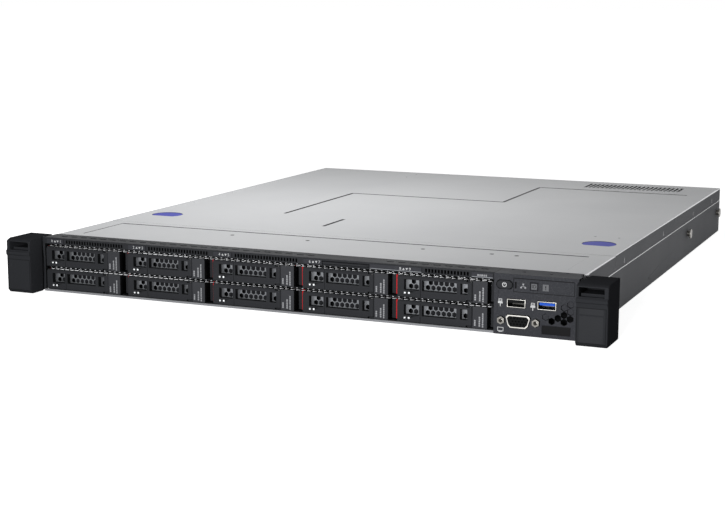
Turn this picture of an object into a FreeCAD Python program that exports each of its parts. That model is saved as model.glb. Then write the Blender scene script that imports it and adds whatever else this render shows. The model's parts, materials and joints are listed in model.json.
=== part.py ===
import FreeCAD, Part
import math
import os

# 1U rack server, 19-inch format.  Millimetres, +Z up, +X to the right seen from the front, +Y to the rear.
# Origin: middle of the width, underside of the chassis, plane of the rack posts (back of the ears).


def count_in(length, pitch):
    """Whole pitches in a length."""
    return int(length // pitch)


# ---- overall ----
BODY_WIDTH = 435.4        # chassis, outside
BODY_LENGTH = 534.5       # drive faces to rear wall
EAR_WIDTH = 23.6          # each ear, from the chassis side to the rack width
FACE_REACH = 17.0         # drive faces stand ahead of the rack posts
SHEET = 0.8               # steel sheet of the pan
COVER_SHEET = 1.0         # steel sheet of the covers
LAY = 0.2                 # air between laid-on sheets
CLEAR = 0.3               # air round a piece that moves or plugs in

HALF = BODY_WIDTH / 2
RACK_HALF = HALF + EAR_WIDTH
FACE_Y = -FACE_REACH
REAR_Y = BODY_LENGTH - FACE_REACH

# ---- drive bays: two rows set the height of the body ----
ROWS = 2
CAGE_SHEET = 0.8
TRAY_HEIGHT = 15.5
ROW_GAP = 2.7             # between the trays of two rows
ROW_PITCH = TRAY_HEIGHT + ROW_GAP
BAY_BASE = SHEET + CAGE_SHEET + CLEAR
FINGER_PITCH = 4.5        # spring fingers along each row
FINGER_WIDTH = 3.2
FINGER_THICK = 0.3
FINGER_DROP = 1.1
FINGER_REACH = 2.8
COMB_FRONT = 0.5
STRIP_GAP = 0.1           # cage roof to the strip above it
STRIP_HEIGHT = 5.1
ROOF_LOW = BAY_BASE + ROWS * ROW_PITCH - ROW_GAP + FINGER_DROP + CLEAR
STRIP_FLOOR = ROOF_LOW + CAGE_SHEET + STRIP_GAP
BODY_HEIGHT = STRIP_FLOOR + STRIP_HEIGHT
COVER_UNDER = BODY_HEIGHT - COVER_SHEET

COLUMN_PITCH = 74.9
BAY_MARGIN = 0.6          # chassis side to the first column
COLUMN_LEFT = BAY_MARGIN - HALF
PANEL_ROOM = 59.9         # least width for the operator panel beside the bays
COLUMNS = count_in(BODY_WIDTH - BAY_MARGIN - PANEL_ROOM, COLUMN_PITCH)
BACKPLANE_BACK = 119.0    # drive faces to the backplane
BACKPLANE_THICK = 1.6
BACKPLANE_SOCKET = (33.0, 2.5, 7.5)    # width, low, high
BACKPLANE_SLOT = (60.0, 10.0, 14.0)

# ---- chassis pan ----
LEDGE_Z = BODY_HEIGHT - 12.0   # top of the joggle under the cover flange
FLANGE_GAP = 0.3          # cover flange to upper wall
BEZEL_DEPTH = 8.5         # walls and dividers start this far behind the drive faces
LIP_HEIGHT = 1.7
LIP_DEPTH = 1.2
COVER_INSET = 0.1         # cover flange behind the lower wall's face
JOGGLE = COVER_INSET + COVER_SHEET + FLANGE_GAP
UPPER_X = HALF - JOGGLE   # outer face of the upper wall
WALL_TOP = COVER_UNDER - LAY
WALL_FRONT = FACE_Y + BEZEL_DEPTH
WALL_BACK = REAR_Y - SHEET

# ---- covers ----
TOP_FRONT = 1.2           # front edge of the fixed plate
SEAM_Y = 80.6             # joint between fixed plate and sliding cover
SEAM = 0.6
COVER_TRAVEL = 12.0
HOOK_ROWS = (110.0, 250.0, 380.0, REAR_Y - 43.5)
HOOK_LENGTH = 6.0
HOOK_Z = LEDGE_Z + 4.2
HOOK_THICK = 1.4
HOOK_REACH = 1.2          # hook past the upper wall, inside
HOOK_MARK = (1.2, 4.0)    # dimple outside each hook, length and height
PRESS_DEPTH = 0.35        # stiffening beads and panels
BEAD = 2.4
PANEL_HALF = HALF - 17.7  # pressed panel of the fixed plate
PANEL_FRONT = 11.7
PANEL_BACK = 71.0
BEAD_FRONT = 179.0        # beads of the sliding cover
BEAD_REAR = REAR_Y - 69.5
BEAD_MIDDLE = REAR_Y - 188.5
BEAD_X = (115.7 - HALF, HALF - 166.7, HALF - 19.7)
SHORT_BEAD = (BEAD_X[0] + 62.0, 125.0, 168.0)
TOUCH_X = HALF - 25.2
TOUCH_Y = 122.0
TOUCH_WIDTH = 20.0        # of the flat front edge
TOUCH_DEPTH = 22.0
TOUCH_POCKET = 0.6
TOP_VENT_X = (HALF - 129.7, HALF - 29.7)
TOP_VENT_Y = (REAR_Y - 48.5, REAR_Y - 18.5)
TOP_VENT_PITCH = 4.2
TOP_VENT_WIDTH = 2.2
SMALL_HOLE = 1.1
PIN_HOLE = 0.6
SIDE_HOLE = (198.5, 6.4)
PLATE_HOLE_Y = 54.4
PLATE_HOLES = (-87.5, -20.9, 75.8, 130.6, 149.9)
PIN_HOLES = ((-184.8, 56.7), (-170.2, 57.9), (23.6, 54.3), (23.7, 17.6), (66.2, 18.3), (66.1, 54.9))
COVER_HOLES = ((HALF - 37.1, 165.4), (HALF - 17.8, 165.4),
               (114.2 - HALF, REAR_Y - 42.8), (114.7 - HALF, REAR_Y - 15.8))

# ---- drive carrier, measured from the column's left and from the drive face ----
HANDLE_LEFT = 1.1
HANDLE_THICK = 3.6
PIVOT_U = 56.0
PIVOT_RADIUS = 0.75
PIVOT_PLAY = 0.08
HANDLE_EAR = 0.9          # hinge lug thickness
LABEL_RIGHT = 68.9
CARRIER_LEFT = 1.7
CARRIER_RIGHT = 73.2
POST_WIDTH = 3.4          # block behind the handle's free end
RAIL_THICK = 0.7
CARRIER_BLOCK = 13.0      # depth of the carrier's front block
LUG_SETBACK = 0.3
SCREEN_FRONT = 4.3
SCREEN_THICK = 0.5
WEB = 1.0
WINDOW_LOW = 5.2
WINDOW_HIGH = TRAY_HEIGHT - 2.8
WINDOWS = ((6.4, 17.8), (20.2, 46.0), (49.0, 54.2))
BEVEL_RISE = 1.0          # window top to the handle's upper slope
BEVEL_DEPTH = 1.2
HANDLE_SEAM = (19.0, 0.4)
NECK = 0.9                # full-height plate to the hinge barrel
HEX_PITCH = 4.0
HEX_FLATS = 3.4
DRIVE_WIDTH = 69.85
DRIVE_LENGTH = 100.0
DRIVE_THICK = TRAY_HEIGHT - 0.7
DRIVE_GAP = 1.0
DRIVE_PLUG = (34.0, 2.0, 8.0, 4.0)   # width, low, high, depth
LATCH_LEFT = -1.4
LATCH_RIGHT = 0.9
LATCH_FRONT = 4.5
LATCH_DEPTH = 3.2
LATCH_INSET = 0.6
TONGUE_LENGTH = 3.2
TONGUE_HEIGHT = 5.6
TONGUE_THICK = 1.6
LENS = 1.3
LENS_DEPTH = 1.0
LENS_U = (6.9, 10.1)
LENS_W = 3.0

# ---- front bezel over the bays ----
BEZEL_WALL = 1.4
VENT_PITCH = 2.4
VENT_WIDTH = 1.4
VENT_FOOT = 0.9
VENT_HEAD = 1.5
PLATE_U = 2.0             # number plate from the column's left
NUMBER_PLATE = 15.5
PLATE_PROUD = 0.5
PLATE_FOOT = 0.6
PLATE_HEAD = 1.0
LONG_PLATE = (-20.2, 19.8)    # plate of the last column
END_PLATE = (57.1, 72.9)
VENT_RUNS = {0: (18.5, 72.9), 1: (18.5, 72.9), 2: (18.5, 72.9), COLUMNS - 1: (21.0, 56.0)}
OVAL_PITCH = 9.0
OVAL_LENGTH = 5.6
OVAL_WIDTH = 2.4
OVAL_SETBACK = 9.0
TAB_COLUMN = 3
TAB_U = 17.0
TAB_WIDTH = 36.8
TAB_THICK = 1.8
TAB_RISE = 1.4
TAB_LENGTH = 62.0
TAB_LIP = 1.2
LEG_REACH = 1.5           # leg outside the chassis side
LEG_WIDTH = 2.2

# ---- operator panel ----
PANEL_RIGHT = HALF - 0.5
PANEL_LAP = 0.6           # over the cage's end wall
PANEL_LEFT = COLUMN_LEFT + COLUMNS * COLUMN_PITCH - PANEL_LAP
PANEL_REACH = 2.3         # ahead of the drive faces
PANEL_WALL = 2.0
PANEL_PLAY = 0.3
BUTTON_X = PANEL_LEFT + 7.7
BUTTON_Z = BODY_HEIGHT - 7.7
BUTTON_WIDTH = 11.4
BUTTON_HEIGHT = 5.8
BUTTON_PROUD = 0.6
BUTTON_TRAVEL = 0.8
BUTTON_FLANGE = 1.0
BUTTON_STEM = 3.0
SWITCH_LENGTH = 3.0
SWITCH_SIZE = 6.0
ID_X = PANEL_LEFT + 28.9
ID_SIZE = 5.0
ID_STEM = 2.4
LIGHT_SLOT = (PANEL_LEFT + 15.6, 1.2, 4.4, 1.0)   # centre, width, height, depth
OPERATOR_PLATE = (PANEL_LEFT + 14.0, PANEL_RIGHT - 3.0, BODY_HEIGHT - 12.4, BODY_HEIGHT - 2.6)
PLATE_SINK = 0.2
BLANK_BADGE = (PANEL_LEFT + 34.8, PANEL_LEFT + 55.1, 2.6, 8.8)
BADGE_SINK = 0.3
ROOF_HOLES = ((8.0, -2.5), (18.5, -8.3), (38.1, -9.1), (47.5, -0.8))   # from the panel's left, and y
USB_X = (PANEL_LEFT + 16.3, PANEL_LEFT + 38.2)
USB_Z = BODY_HEIGHT - 20.4
USB_WIDTH = 13.1
USB_HEIGHT = 5.7
USB_WALL = 0.4
USB_FLOOR = 4.5
USB_PROUD = 0.4
USB_TONGUE = (2.2, 0.1, 1.9)     # width less than the shell's, low, high
VGA_X = PANEL_LEFT + 18.05
VGA_Z = 10.0
VGA_WIDTH = 17.4
VGA_HEIGHT = 9.0
VGA_WALL = 0.8
VGA_CORNER = 1.6
VGA_LEAN = 10.0           # degrees
VGA_PROUD = 1.6
VGA_FLOOR = 4.0
VGA_PIN = 0.55
VGA_PIN_PITCH = (2.29, 1.98)
JACK_SPACING = 25.0
JACK_FLATS = 5.0
JACK_PROUD = 3.0
JACK_BORE = 1.4
HOLE_FLATS = 4.3
HOLE_DX = 4.35
HOLE_DZ = 5.03
HOLE_X = PANEL_LEFT + 37.4
HOLE_Z = 14.7
BOARD = 1.6
IO_BOARD_Y = -4.0
IO_SOCKET = (40.0, 4.5, 8.0, 13.0)   # width, depth, low, high

# ---- rack ears ----
EAR_FRONT = -34.3
EAR_INNER = HALF + 1.6
EAR_INNER_BACK = HALF + 3.1
EAR_WALL = 2.0
EAR_PLATE = 2.0           # steel flange on the post
EAR_STEP_Y = -18.0
EAR_LOW_CUT = 2.4
EAR_TOP_RUN = 4.0
EAR_TOP_SLOPE = 1.6
RECESS_X = (HALF + 3.2, RACK_HALF - 2.8)
RECESS_LOW = BODY_HEIGHT - 10.0
RECESS_HIGH = BODY_HEIGHT - 2.3
RECESS_BACK = -11.0
RECESS_SILL = 1.2
LIP_LOW = BODY_HEIGHT - 12.4
LIP_PROUD = 1.2
LIP_RAMP = 0.8
BRACKET_BACK = 42.0
BRACKET_THICK = 1.2
BRACKET_LOW = 3.0
EAR_TRAVEL = 3.0
TRIGGER_THICK = 1.6
TRIGGER_SETBACK = 3.0
HOOK_LOW = 9.0
HOOK_TALL = 4.0
HOOK_WIDE = 7.0
HOOK_TIP = 6.0
BARB = (2.5, 2.0)         # run and rise of the hook's barb

# ---- power supply, which sets where the board ends ----
SUPPLY_WIDTH = 100.0
SUPPLY_LEFT = HALF - SUPPLY_WIDTH - 5.7
SUPPLY_HEIGHT = COVER_UNDER - 2.0
SUPPLY_LENGTH = 200.0
SUPPLY_WALL = 1.0
SUPPLY_FAN_X = SUPPLY_LEFT + 24.0
INLET_X = SUPPLY_LEFT + 76.0
INLET_Z = 21.0
INLET_WIDTH = 27.0
INLET_HEIGHT = 20.0
INLET_CAVITY = (24.0, 16.4)
INLET_DEPTH = 15.0
INLET_WALL = 1.5
INLET_PINS = ((-7.0, -1.6), (7.0, -1.6), (0.0, 2.4))
INLET_PIN = (2.0, 4.0, 3.0)      # width, height, set back from the mouth
SUPPLY_BOARD_RISE = 3.0
SUPPLY_BOARD_INSET = 5.0
INTAKE_PITCH = 5.0
INTAKE_WIDTH = 2.4
INTAKE_MARGIN = 8.0

# ---- cooling ----
FAN_SIZE = COVER_UNDER - 2.0
FAN_DEPTH = 28.0
FAN_Y = 112.0
FAN_PITCH = 90.0
FANS = 3
FAN_X = [67.7 - HALF + k * FAN_PITCH for k in range(FANS)]
FAN_BORE = FAN_SIZE / 2 - 1.2
HUB_RADIUS = 9.5
HUB_SETBACK = 2.0
TIP_GAP = 0.7
BLADES = 7
BLADE_THICK = 1.0
BLADE_TILT = 38.0
SHAFT_RADIUS = 1.5
SHAFT_PLAY = 0.06
STATOR = 4.0
STRUT = 2.4
SUPPLY_BLADES = 9

# ---- electronics ----
BOARD_Z = 6.8
BOARD_X = (5.7 - HALF, SUPPLY_LEFT - 12.0)
BOARD_Y = (150.0, REAR_Y - 12.5)
BOARD_SCREW_INSET = 6.0
STAND_RADIUS = 3.0
SOCKET = 60.0
SOCKET_THICK = 2.8
CPU_SIZE = 37.5
CPU_THICK = 3.0
DIMMS = 4
DIMM_PITCH = 9.4
DIMM_X = BOARD_X[1] - 70.0
DIMM_Y = 175.0
DIMM_LENGTH = 133.35
DIMM_HEIGHT = 31.2
DIMM_THICK = 1.2
CHIP = 9.0
CHIP_THICK = 1.1
CHIPS = 9
DIMM_SOCKET = 6.0
DIMM_SEAT = 2.0
CPU_X = DIMM_X - 90.0
CPU_Y = 235.0
SINK_X = 92.0
SINK_Y = 78.0
SINK_BASE = 4.0
SINK_TOP = COVER_UNDER - 3.0
FIN_PITCH = 3.0
FIN_THICK = 0.6
COIL = 10.0
COIL_HEIGHT = 7.0
COIL_PITCH = 13.0
COIL_GAP = 7.0
CAN = (4.0, 11.0)         # capacitor, radius and height
COIN = (10.0, 4.5)        # cell in its holder, radius and height
BAFFLE_GAP = 16.0
BAFFLE_WALL = 1.2
BAFFLE_EDGE = 2.0
BAFFLE_BACK = 330.0

# ---- rear ----
PORT_FLOOR = BOARD_Z + BOARD
PORT_DEPTH = 18.0
RJ_WIDTH = 16.0
RJ_HEIGHT = 13.4
RJ_MOUTH = (11.8, 3.0, 10.4)     # width, low, high
RJ_FLOOR = 5.0
RJ_X = [18.7 - HALF + 19.0 * k for k in range(3)]
USB_STACK_X = 74.7 - HALF
USB_STACK_HEIGHT = 15.6
USB_STACK_FOOT = 0.9
USB_STACK_GAP = 2.0
SLOT_WIDTH = 79.0
SLOT_PITCH = 82.0
SLOT_X = (SUPPLY_LEFT - SLOT_WIDTH - 6.0 - SLOT_PITCH, SUPPLY_LEFT - SLOT_WIDTH - 6.0)
SLOT_HEIGHT = 18.4
SLOT_Z = COVER_UNDER - 12.0
SLOT_LAP = 0.8
RISER = (145.0, 45.0)     # ahead of the board's rear edge
RISER_OFFSET = 7.0
RISER_SOCKET = 8.0
DSUB_PITCH = 35.0
DSUB_LEFT = 83.2 - HALF
DSUBS = count_in(SLOT_X[0] - DSUB_LEFT, DSUB_PITCH)
DSUB_X = [DSUB_LEFT + DSUB_PITCH * (k + 0.5) for k in range(DSUBS)]
DSUB_WIDTH = 30.8
DSUB_HEIGHT = 12.4
DSUB_SHELL = (4.2, 8.4, 1.3, 5.5)   # half height, half width, lean, depth
HEX_VENT = 5.0
HEX_VENT_PITCH = 6.2
VENT_MARGIN = 4.0
PORT_PROUD = 0.4

# ---- rail studs and screws ----
STUD_ROWS = (60.0, 353.7, REAR_Y - 16.8)
STUD_Z = 20.7
STUD_SHANK = 2.6
STUD_NECK = 2.4
STUD_HEAD = 4.2
STUD_HEAD_THICK = 1.4
SCREW_RADIUS = 2.8
SCREW_HEAD = 1.4

V = FreeCAD.Vector


def box(x, y, z):
    """Block between three pairs of limits."""
    return Part.makeBox(x[1] - x[0], y[1] - y[0], z[1] - z[0], V(x[0], y[0], z[0]))


def about(centre, width):
    """Pair of limits on both sides of a centre."""
    return (centre - width / 2, centre + width / 2)


def grown(limits, by):
    """Pair of limits moved apart."""
    return (limits[0] - by, limits[1] + by)


def rod(radius, start, end):
    """Round bar between two points."""
    run = V(*end) - V(*start)
    return Part.makeCylinder(radius, run.Length, V(*start), run)


def prism(points, run):
    """Straight extrusion of a closed outline of 3-D points."""
    corners = [V(*p) for p in points]
    return Part.Face(Part.makePolygon(corners + corners[:1])).extrude(V(*run))


def side_prism(outline, x):
    """Extrusion along X of (y, z) points."""
    return prism([(x[0], y, z) for y, z in outline], (x[1] - x[0], 0, 0))


def hexagon(x, z, flats, y):
    """Six-sided bar along Y with upright sides."""
    radius = flats / math.sqrt(3)
    turns = [math.radians(30 + 60 * k) for k in range(6)]
    return prism([(x + radius * math.cos(a), y[0], z + radius * math.sin(a)) for a in turns],
                 (0, y[1] - y[0], 0))


def pill(x, z, width, height, y):
    """Bar along Y with half-round ends."""
    end = height / 2
    run = width / 2 - end
    core = box((x - run, x + run), y, about(z, height))
    ends = [rod(end, (x + s * run, y[0], z), (x + s * run, y[1], z)) for s in (-1, 1)]
    return core.fuse(ends).removeSplitter()


def fused(shapes):
    """One solid from touching shapes."""
    return shapes[0].fuse(shapes[1:]).removeSplitter()


def save(name, *solids):
    """Write one named piece."""
    shape = solids[0] if len(solids) == 1 else Part.makeCompound(list(solids))
    shape.exportStep("parts/" + name + ".step")


def mirrored(shape):
    """Copy across the middle plane."""
    return shape.mirror(V(0, 0, 0), V(1, 0, 0))


def row_of(low, high, pitch):
    """Centres of an even row that is centred between two limits."""
    number = count_in(high - low, pitch)
    start = (low + high - (number - 1) * pitch) / 2
    return [start + k * pitch for k in range(number)]


def honeycomb(x, z, y, flats, pitch):
    """Staggered hexagonal bars that fill a window."""
    rise = pitch * math.sqrt(3) / 2
    holes = []
    for line, centre_z in enumerate(row_of(z[0], z[1], rise)):
        shift = pitch / 2 if line % 2 else 0
        holes += [hexagon(centre_x, centre_z, flats, y)
                  for centre_x in row_of(x[0] + shift, x[1] - shift, pitch)]
    return holes


# ---- chassis ----

def pan():
    """Floor and side walls, bent from one sheet."""
    inner, upper = HALF - SHEET, UPPER_X - SHEET
    right = [(HALF, 0), (HALF, LEDGE_Z), (UPPER_X, LEDGE_Z), (UPPER_X, WALL_TOP), (upper, WALL_TOP),
             (upper, LEDGE_Z - SHEET), (inner, LEDGE_Z - SHEET), (inner, SHEET)]
    left = [(-x, z) for x, z in reversed(right)]
    profile = [(x, WALL_FRONT, z) for x, z in right + left]
    return prism(profile, (0, REAR_Y - WALL_FRONT, 0))


def pan_front():
    """Floor strip under the drive faces with its hemmed lip."""
    floor = box((-HALF, HALF), (FACE_Y, WALL_FRONT), (0, SHEET))
    lip = box((-HALF, PANEL_LEFT), (FACE_Y - LIP_DEPTH, FACE_Y), (0, LIP_HEIGHT))
    return fused([floor, lip])


def rear_wall():
    """Rear panel riveted into the pan."""
    inner, upper = HALF - SHEET, UPPER_X - SHEET
    low = box((-inner, inner), (WALL_BACK, REAR_Y), (SHEET, LEDGE_Z - SHEET))
    high = box((-upper, upper), (WALL_BACK, REAR_Y), (LEDGE_Z - SHEET, WALL_TOP))
    return fused([low, high]).cut(rear_cuts())


def standoff_places():
    """Board screw positions."""
    columns = (BOARD_X[0] + BOARD_SCREW_INSET, sum(BOARD_X) / 2, BOARD_X[1] - BOARD_SCREW_INSET)
    rows = (BOARD_Y[0] + BOARD_SCREW_INSET, sum(BOARD_Y) / 2, BOARD_Y[1] - BOARD_SCREW_INSET - PORT_DEPTH)
    return [(x, y) for x in columns for y in rows]


def port_windows():
    """Rear wall windows of the board's ports, as (x limits, z limits)."""
    windows = [(about(x, RJ_WIDTH), (PORT_FLOOR, PORT_FLOOR + RJ_HEIGHT)) for x in RJ_X]
    windows.append((about(USB_STACK_X, USB_WIDTH), (PORT_FLOOR, PORT_FLOOR + USB_STACK_HEIGHT)))
    windows += [(about(x, DSUB_WIDTH), (PORT_FLOOR, PORT_FLOOR + DSUB_HEIGHT)) for x in DSUB_X]
    return windows


def slot_window(x):
    """Rear wall window of one expansion slot."""
    return (x, x + SLOT_WIDTH), about(SLOT_Z, SLOT_HEIGHT)


def rear_cuts():
    """Everything cut out of the rear wall."""
    through = (WALL_BACK - 1, REAR_Y + 1)
    supply = (SUPPLY_LEFT, SUPPLY_LEFT + SUPPLY_WIDTH)
    cuts = [box(grown(supply, LAY), through, (SHEET - 1, SHEET + SUPPLY_HEIGHT + 2 * LAY))]
    cuts += [box(grown(x, CLEAR), through, grown(z, CLEAR)) for x, z in port_windows()]
    cuts += [box(slot_window(x)[0], through, slot_window(x)[1]) for x in SLOT_X]
    upper = (SHEET - UPPER_X + VENT_MARGIN, SLOT_X[0] - VENT_MARGIN)
    cuts += honeycomb(upper, (PORT_FLOOR + USB_STACK_HEIGHT, WALL_TOP), through, HEX_VENT, HEX_VENT_PITCH)
    lower = (DSUB_LEFT + DSUBS * DSUB_PITCH + VENT_MARGIN / 2, SUPPLY_LEFT - VENT_MARGIN)
    cuts += honeycomb(lower, (SHEET, slot_window(0)[1][0]), through, HEX_VENT, HEX_VENT_PITCH)
    return cuts


def hook_slots():
    """Slots of the upper walls in which the cover's hooks run and lift out."""
    slots = []
    for y in HOOK_ROWS:
        x = grown((UPPER_X - SHEET, UPPER_X), 0.5)
        run = (y - HOOK_LENGTH / 2 - CLEAR, y + HOOK_LENGTH / 2 + COVER_TRAVEL + CLEAR)
        entry = (run[1] - HOOK_LENGTH - 2 * CLEAR, run[1])
        low = HOOK_Z - HOOK_THICK / 2 - CLEAR
        slots.append(box(x, run, (low, low + HOOK_THICK + 2 * CLEAR)))
        slots.append(box(x, entry, (low, WALL_TOP + 1)))
    return slots + [mirrored(slot) for slot in slots]


def chassis():
    y, z = SIDE_HOLE
    side_hole = rod(SMALL_HOLE, (HALF - 2, y, z), (HALF + 1, y, z))
    drilled = pan().cut(hook_slots() + [side_hole, mirrored(side_hole)])
    save("chassis", drilled, pan_front(), rear_wall())


# ---- covers ----

COVER_OUTER = HALF - COVER_INSET


def cover_top(y):
    """Flat sheet of a cover."""
    return box((-COVER_OUTER, COVER_OUTER), y, (COVER_UNDER, BODY_HEIGHT))


def cover_side(y):
    """Side wall under a cover's right-hand edge."""
    return box((COVER_OUTER - COVER_SHEET, COVER_OUTER), y, (LEDGE_Z + 2 * LAY, COVER_UNDER))


def press(x, y):
    """Shallow pressed channel or panel in the top face."""
    return box(x, y, (BODY_HEIGHT - PRESS_DEPTH, BODY_HEIGHT + 1))


def top_drill(radius, x, y):
    """Upright drill through the top."""
    return rod(radius, (x, y, COVER_UNDER - 1), (x, y, BODY_HEIGHT + 1))


def front_cover_plate():
    y = (TOP_FRONT, SEAM_Y)
    side = cover_side(y)
    plate = fused([cover_top(y), side, mirrored(side)])
    drills = [top_drill(SMALL_HOLE, x, PLATE_HOLE_Y) for x in PLATE_HOLES]
    drills += [top_drill(PIN_HOLE, x, y) for x, y in PIN_HOLES]
    panel = press((-PANEL_HALF, PANEL_HALF), (PANEL_FRONT, PANEL_BACK))
    save("front_cover_plate", plate.cut([panel] + drills))


def touch_outline(x, shrink, z):
    """Disc with its front cut off straight."""
    half, deep = TOUCH_WIDTH / 2 - shrink, TOUCH_DEPTH - 2 * shrink
    front = TOUCH_Y + shrink
    left, right = V(x - half, front, z), V(x + half, front, z)
    arc = Part.Arc(right, V(x, front + deep, z), left).toShape()
    return Part.Face(Part.Wire([Part.LineSegment(left, right).toShape(), arc]))


def touch_points():
    floor = BODY_HEIGHT - TOUCH_POCKET
    thick = TOUCH_POCKET - LAY
    pads = [touch_outline(x, LAY, floor).extrude(V(0, 0, thick)) for x in (-TOUCH_X, TOUCH_X)]
    save("touch_points", *pads)


def cover_beads():
    """Long stepped bead and the short one beside it."""
    half = BEAD / 2
    left, middle, right = BEAD_X
    beads = [press(grown((left, left), half), (BEAD_FRONT, BEAD_MIDDLE + half)),
             press((left - half, middle + half), grown((BEAD_MIDDLE, BEAD_MIDDLE), half)),
             press(grown((middle, middle), half), (BEAD_MIDDLE - half, BEAD_REAR + half)),
             press((middle - half, right), grown((BEAD_REAR, BEAD_REAR), half))]
    return beads + [press(grown((SHORT_BEAD[0], SHORT_BEAD[0]), half), SHORT_BEAD[1:])]


def cover_hook(y):
    """Inward hook of the side flange."""
    x = (UPPER_X - SHEET - HOOK_REACH, COVER_OUTER - COVER_SHEET)
    return box(x, about(y, HOOK_LENGTH), about(HOOK_Z, HOOK_THICK))


def cover_rail():
    """Side wall of the sliding cover and the hooks riveted to it, right-hand side."""
    length, height = HOOK_MARK
    marks = [box((COVER_OUTER - PRESS_DEPTH, HALF), about(y, length), about(HOOK_Z, height))
             for y in HOOK_ROWS]
    rail = cover_side((SEAM_Y + SEAM, REAR_Y)).cut(marks)
    return [rail] + [cover_hook(y) for y in HOOK_ROWS]


def top_cover():
    """Sliding sheet on two side rails."""
    pockets = [touch_outline(x, 0, BODY_HEIGHT - TOUCH_POCKET).extrude(V(0, 0, 2))
               for x in (-TOUCH_X, TOUCH_X)]
    vents = [box(about(x, TOP_VENT_WIDTH), TOP_VENT_Y, (COVER_UNDER - 1, BODY_HEIGHT + 1))
             for x in row_of(TOP_VENT_X[0], TOP_VENT_X[1], TOP_VENT_PITCH)]
    drills = [top_drill(SMALL_HOLE, x, y) for x, y in COVER_HOLES]
    sheet = cover_top((SEAM_Y + SEAM, REAR_Y)).cut(cover_beads() + pockets + vents + drills)
    rail = cover_rail()
    save("top_cover", sheet, *rail, *[mirrored(solid) for solid in rail])


# ---- drive bays ----

def column_x(column):
    return COLUMN_LEFT + column * COLUMN_PITCH


def row_z(row):
    return BAY_BASE + row * ROW_PITCH


BAYS_RIGHT = column_x(COLUMNS) + CAGE_SHEET / 2
CAGE_BACK = FACE_Y + BACKPLANE_BACK - 1.0
CAGE_LEFT = -(UPPER_X - SHEET)
SHELF_TOP = row_z(1) - CLEAR


def comb(under):
    """Strip of bright spring fingers under a sheet's front edge."""
    front = FACE_Y + COMB_FRONT
    back = front + FINGER_REACH
    strip = box((CAGE_LEFT, BAYS_RIGHT), (back, back + 1.5), (under - FINGER_THICK, under))
    slope = [(back, under - FINGER_THICK), (back, under), (front, under - FINGER_DROP + FINGER_THICK),
             (front, under - FINGER_DROP)]
    places = row_of(CAGE_LEFT, BAYS_RIGHT, FINGER_PITCH)
    return fused([strip] + [side_prism(slope, about(x, FINGER_WIDTH)) for x in places])


def drive_cage():
    sheet_front = FACE_Y + COMB_FRONT + FINGER_REACH
    low = SHEET
    base = box((CAGE_LEFT, BAYS_RIGHT), (sheet_front, CAGE_BACK), (low, low + CAGE_SHEET))
    roof = box((CAGE_LEFT, BAYS_RIGHT), (sheet_front, CAGE_BACK), (ROOF_LOW, ROOF_LOW + CAGE_SHEET))
    wall_z = (low + CAGE_SHEET, ROOF_LOW)
    walls = [box(about(column_x(k), CAGE_SHEET), (WALL_FRONT, CAGE_BACK), wall_z) for k in range(1, COLUMNS)]
    end_wall = box((BAYS_RIGHT - CAGE_SHEET, BAYS_RIGHT), (WALL_FRONT, CAGE_BACK), wall_z)
    shelf = box((CAGE_LEFT, BAYS_RIGHT - CAGE_SHEET), (sheet_front, CAGE_BACK),
                (SHELF_TOP - CAGE_SHEET, SHELF_TOP))
    shelf = shelf.cut(walls)
    save("drive_cage", base, roof, shelf, end_wall, *walls, comb(ROOF_LOW), comb(SHELF_TOP - CAGE_SHEET))


def window_box(window, x, y, z):
    """Opening of one bezel window, placed at a carrier's corner."""
    return box((x + window[0], x + window[1]), y, (z + WINDOW_LOW, z + WINDOW_HIGH))


def carrier_rails(x, z):
    """Side rails of a drive carrier; the right one has a wing that closes the gap beside the label."""
    block_back = FACE_Y + CARRIER_BLOCK
    rail_y = (block_back, block_back + DRIVE_LENGTH)
    rail_z = (z + WEB, z + TRAY_HEIGHT - WEB)
    left = box((x + CARRIER_LEFT, x + CARRIER_LEFT + RAIL_THICK), rail_y, rail_z)
    right = box((x + CARRIER_RIGHT - RAIL_THICK, x + CARRIER_RIGHT), rail_y, rail_z)
    wing = box((x + LABEL_RIGHT, x + CARRIER_RIGHT), (WALL_FRONT, block_back), (z, z + TRAY_HEIGHT))
    return [left, fused([right, wing])]


def carrier_block(x, z):
    """Moulded front block of a drive carrier."""
    face, block_back = FACE_Y, FACE_Y + CARRIER_BLOCK
    screen = FACE_Y + SCREEN_FRONT
    low, high = z, z + TRAY_HEIGHT
    label_left = PIVOT_U + HANDLE_THICK / 2 + CLEAR
    post_x = (x + CARRIER_LEFT, x + HANDLE_LEFT + POST_WIDTH + LENS_DEPTH)
    post = box(post_x, (screen, block_back), (low, high))
    label = box((x + label_left, x + LABEL_RIGHT), (face, block_back), (low, high))
    webs = [box((x + CARRIER_LEFT, x + label_left), (screen, block_back), limits)
            for limits in ((low, low + WEB), (high - WEB, high))]
    pivot_left = PIVOT_U - HANDLE_THICK / 2
    lugs = [box((x + pivot_left, x + label_left), (face + LUG_SETBACK, screen), limits)
            for limits in ((low, low + HANDLE_EAR), (high - HANDLE_EAR, high))]
    tongue_y = about(FACE_Y + LATCH_FRONT + LATCH_DEPTH / 2, TONGUE_THICK + 2 * CLEAR)
    tongue_run = (x + CARRIER_LEFT - 1, x + LATCH_RIGHT + TONGUE_LENGTH + CLEAR)
    pocket = box(tongue_run, tongue_y, about(z + TRAY_HEIGHT / 2, TONGUE_HEIGHT + 2 * CLEAR))
    return fused([post, label] + webs + lugs).cut(pocket)


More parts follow.
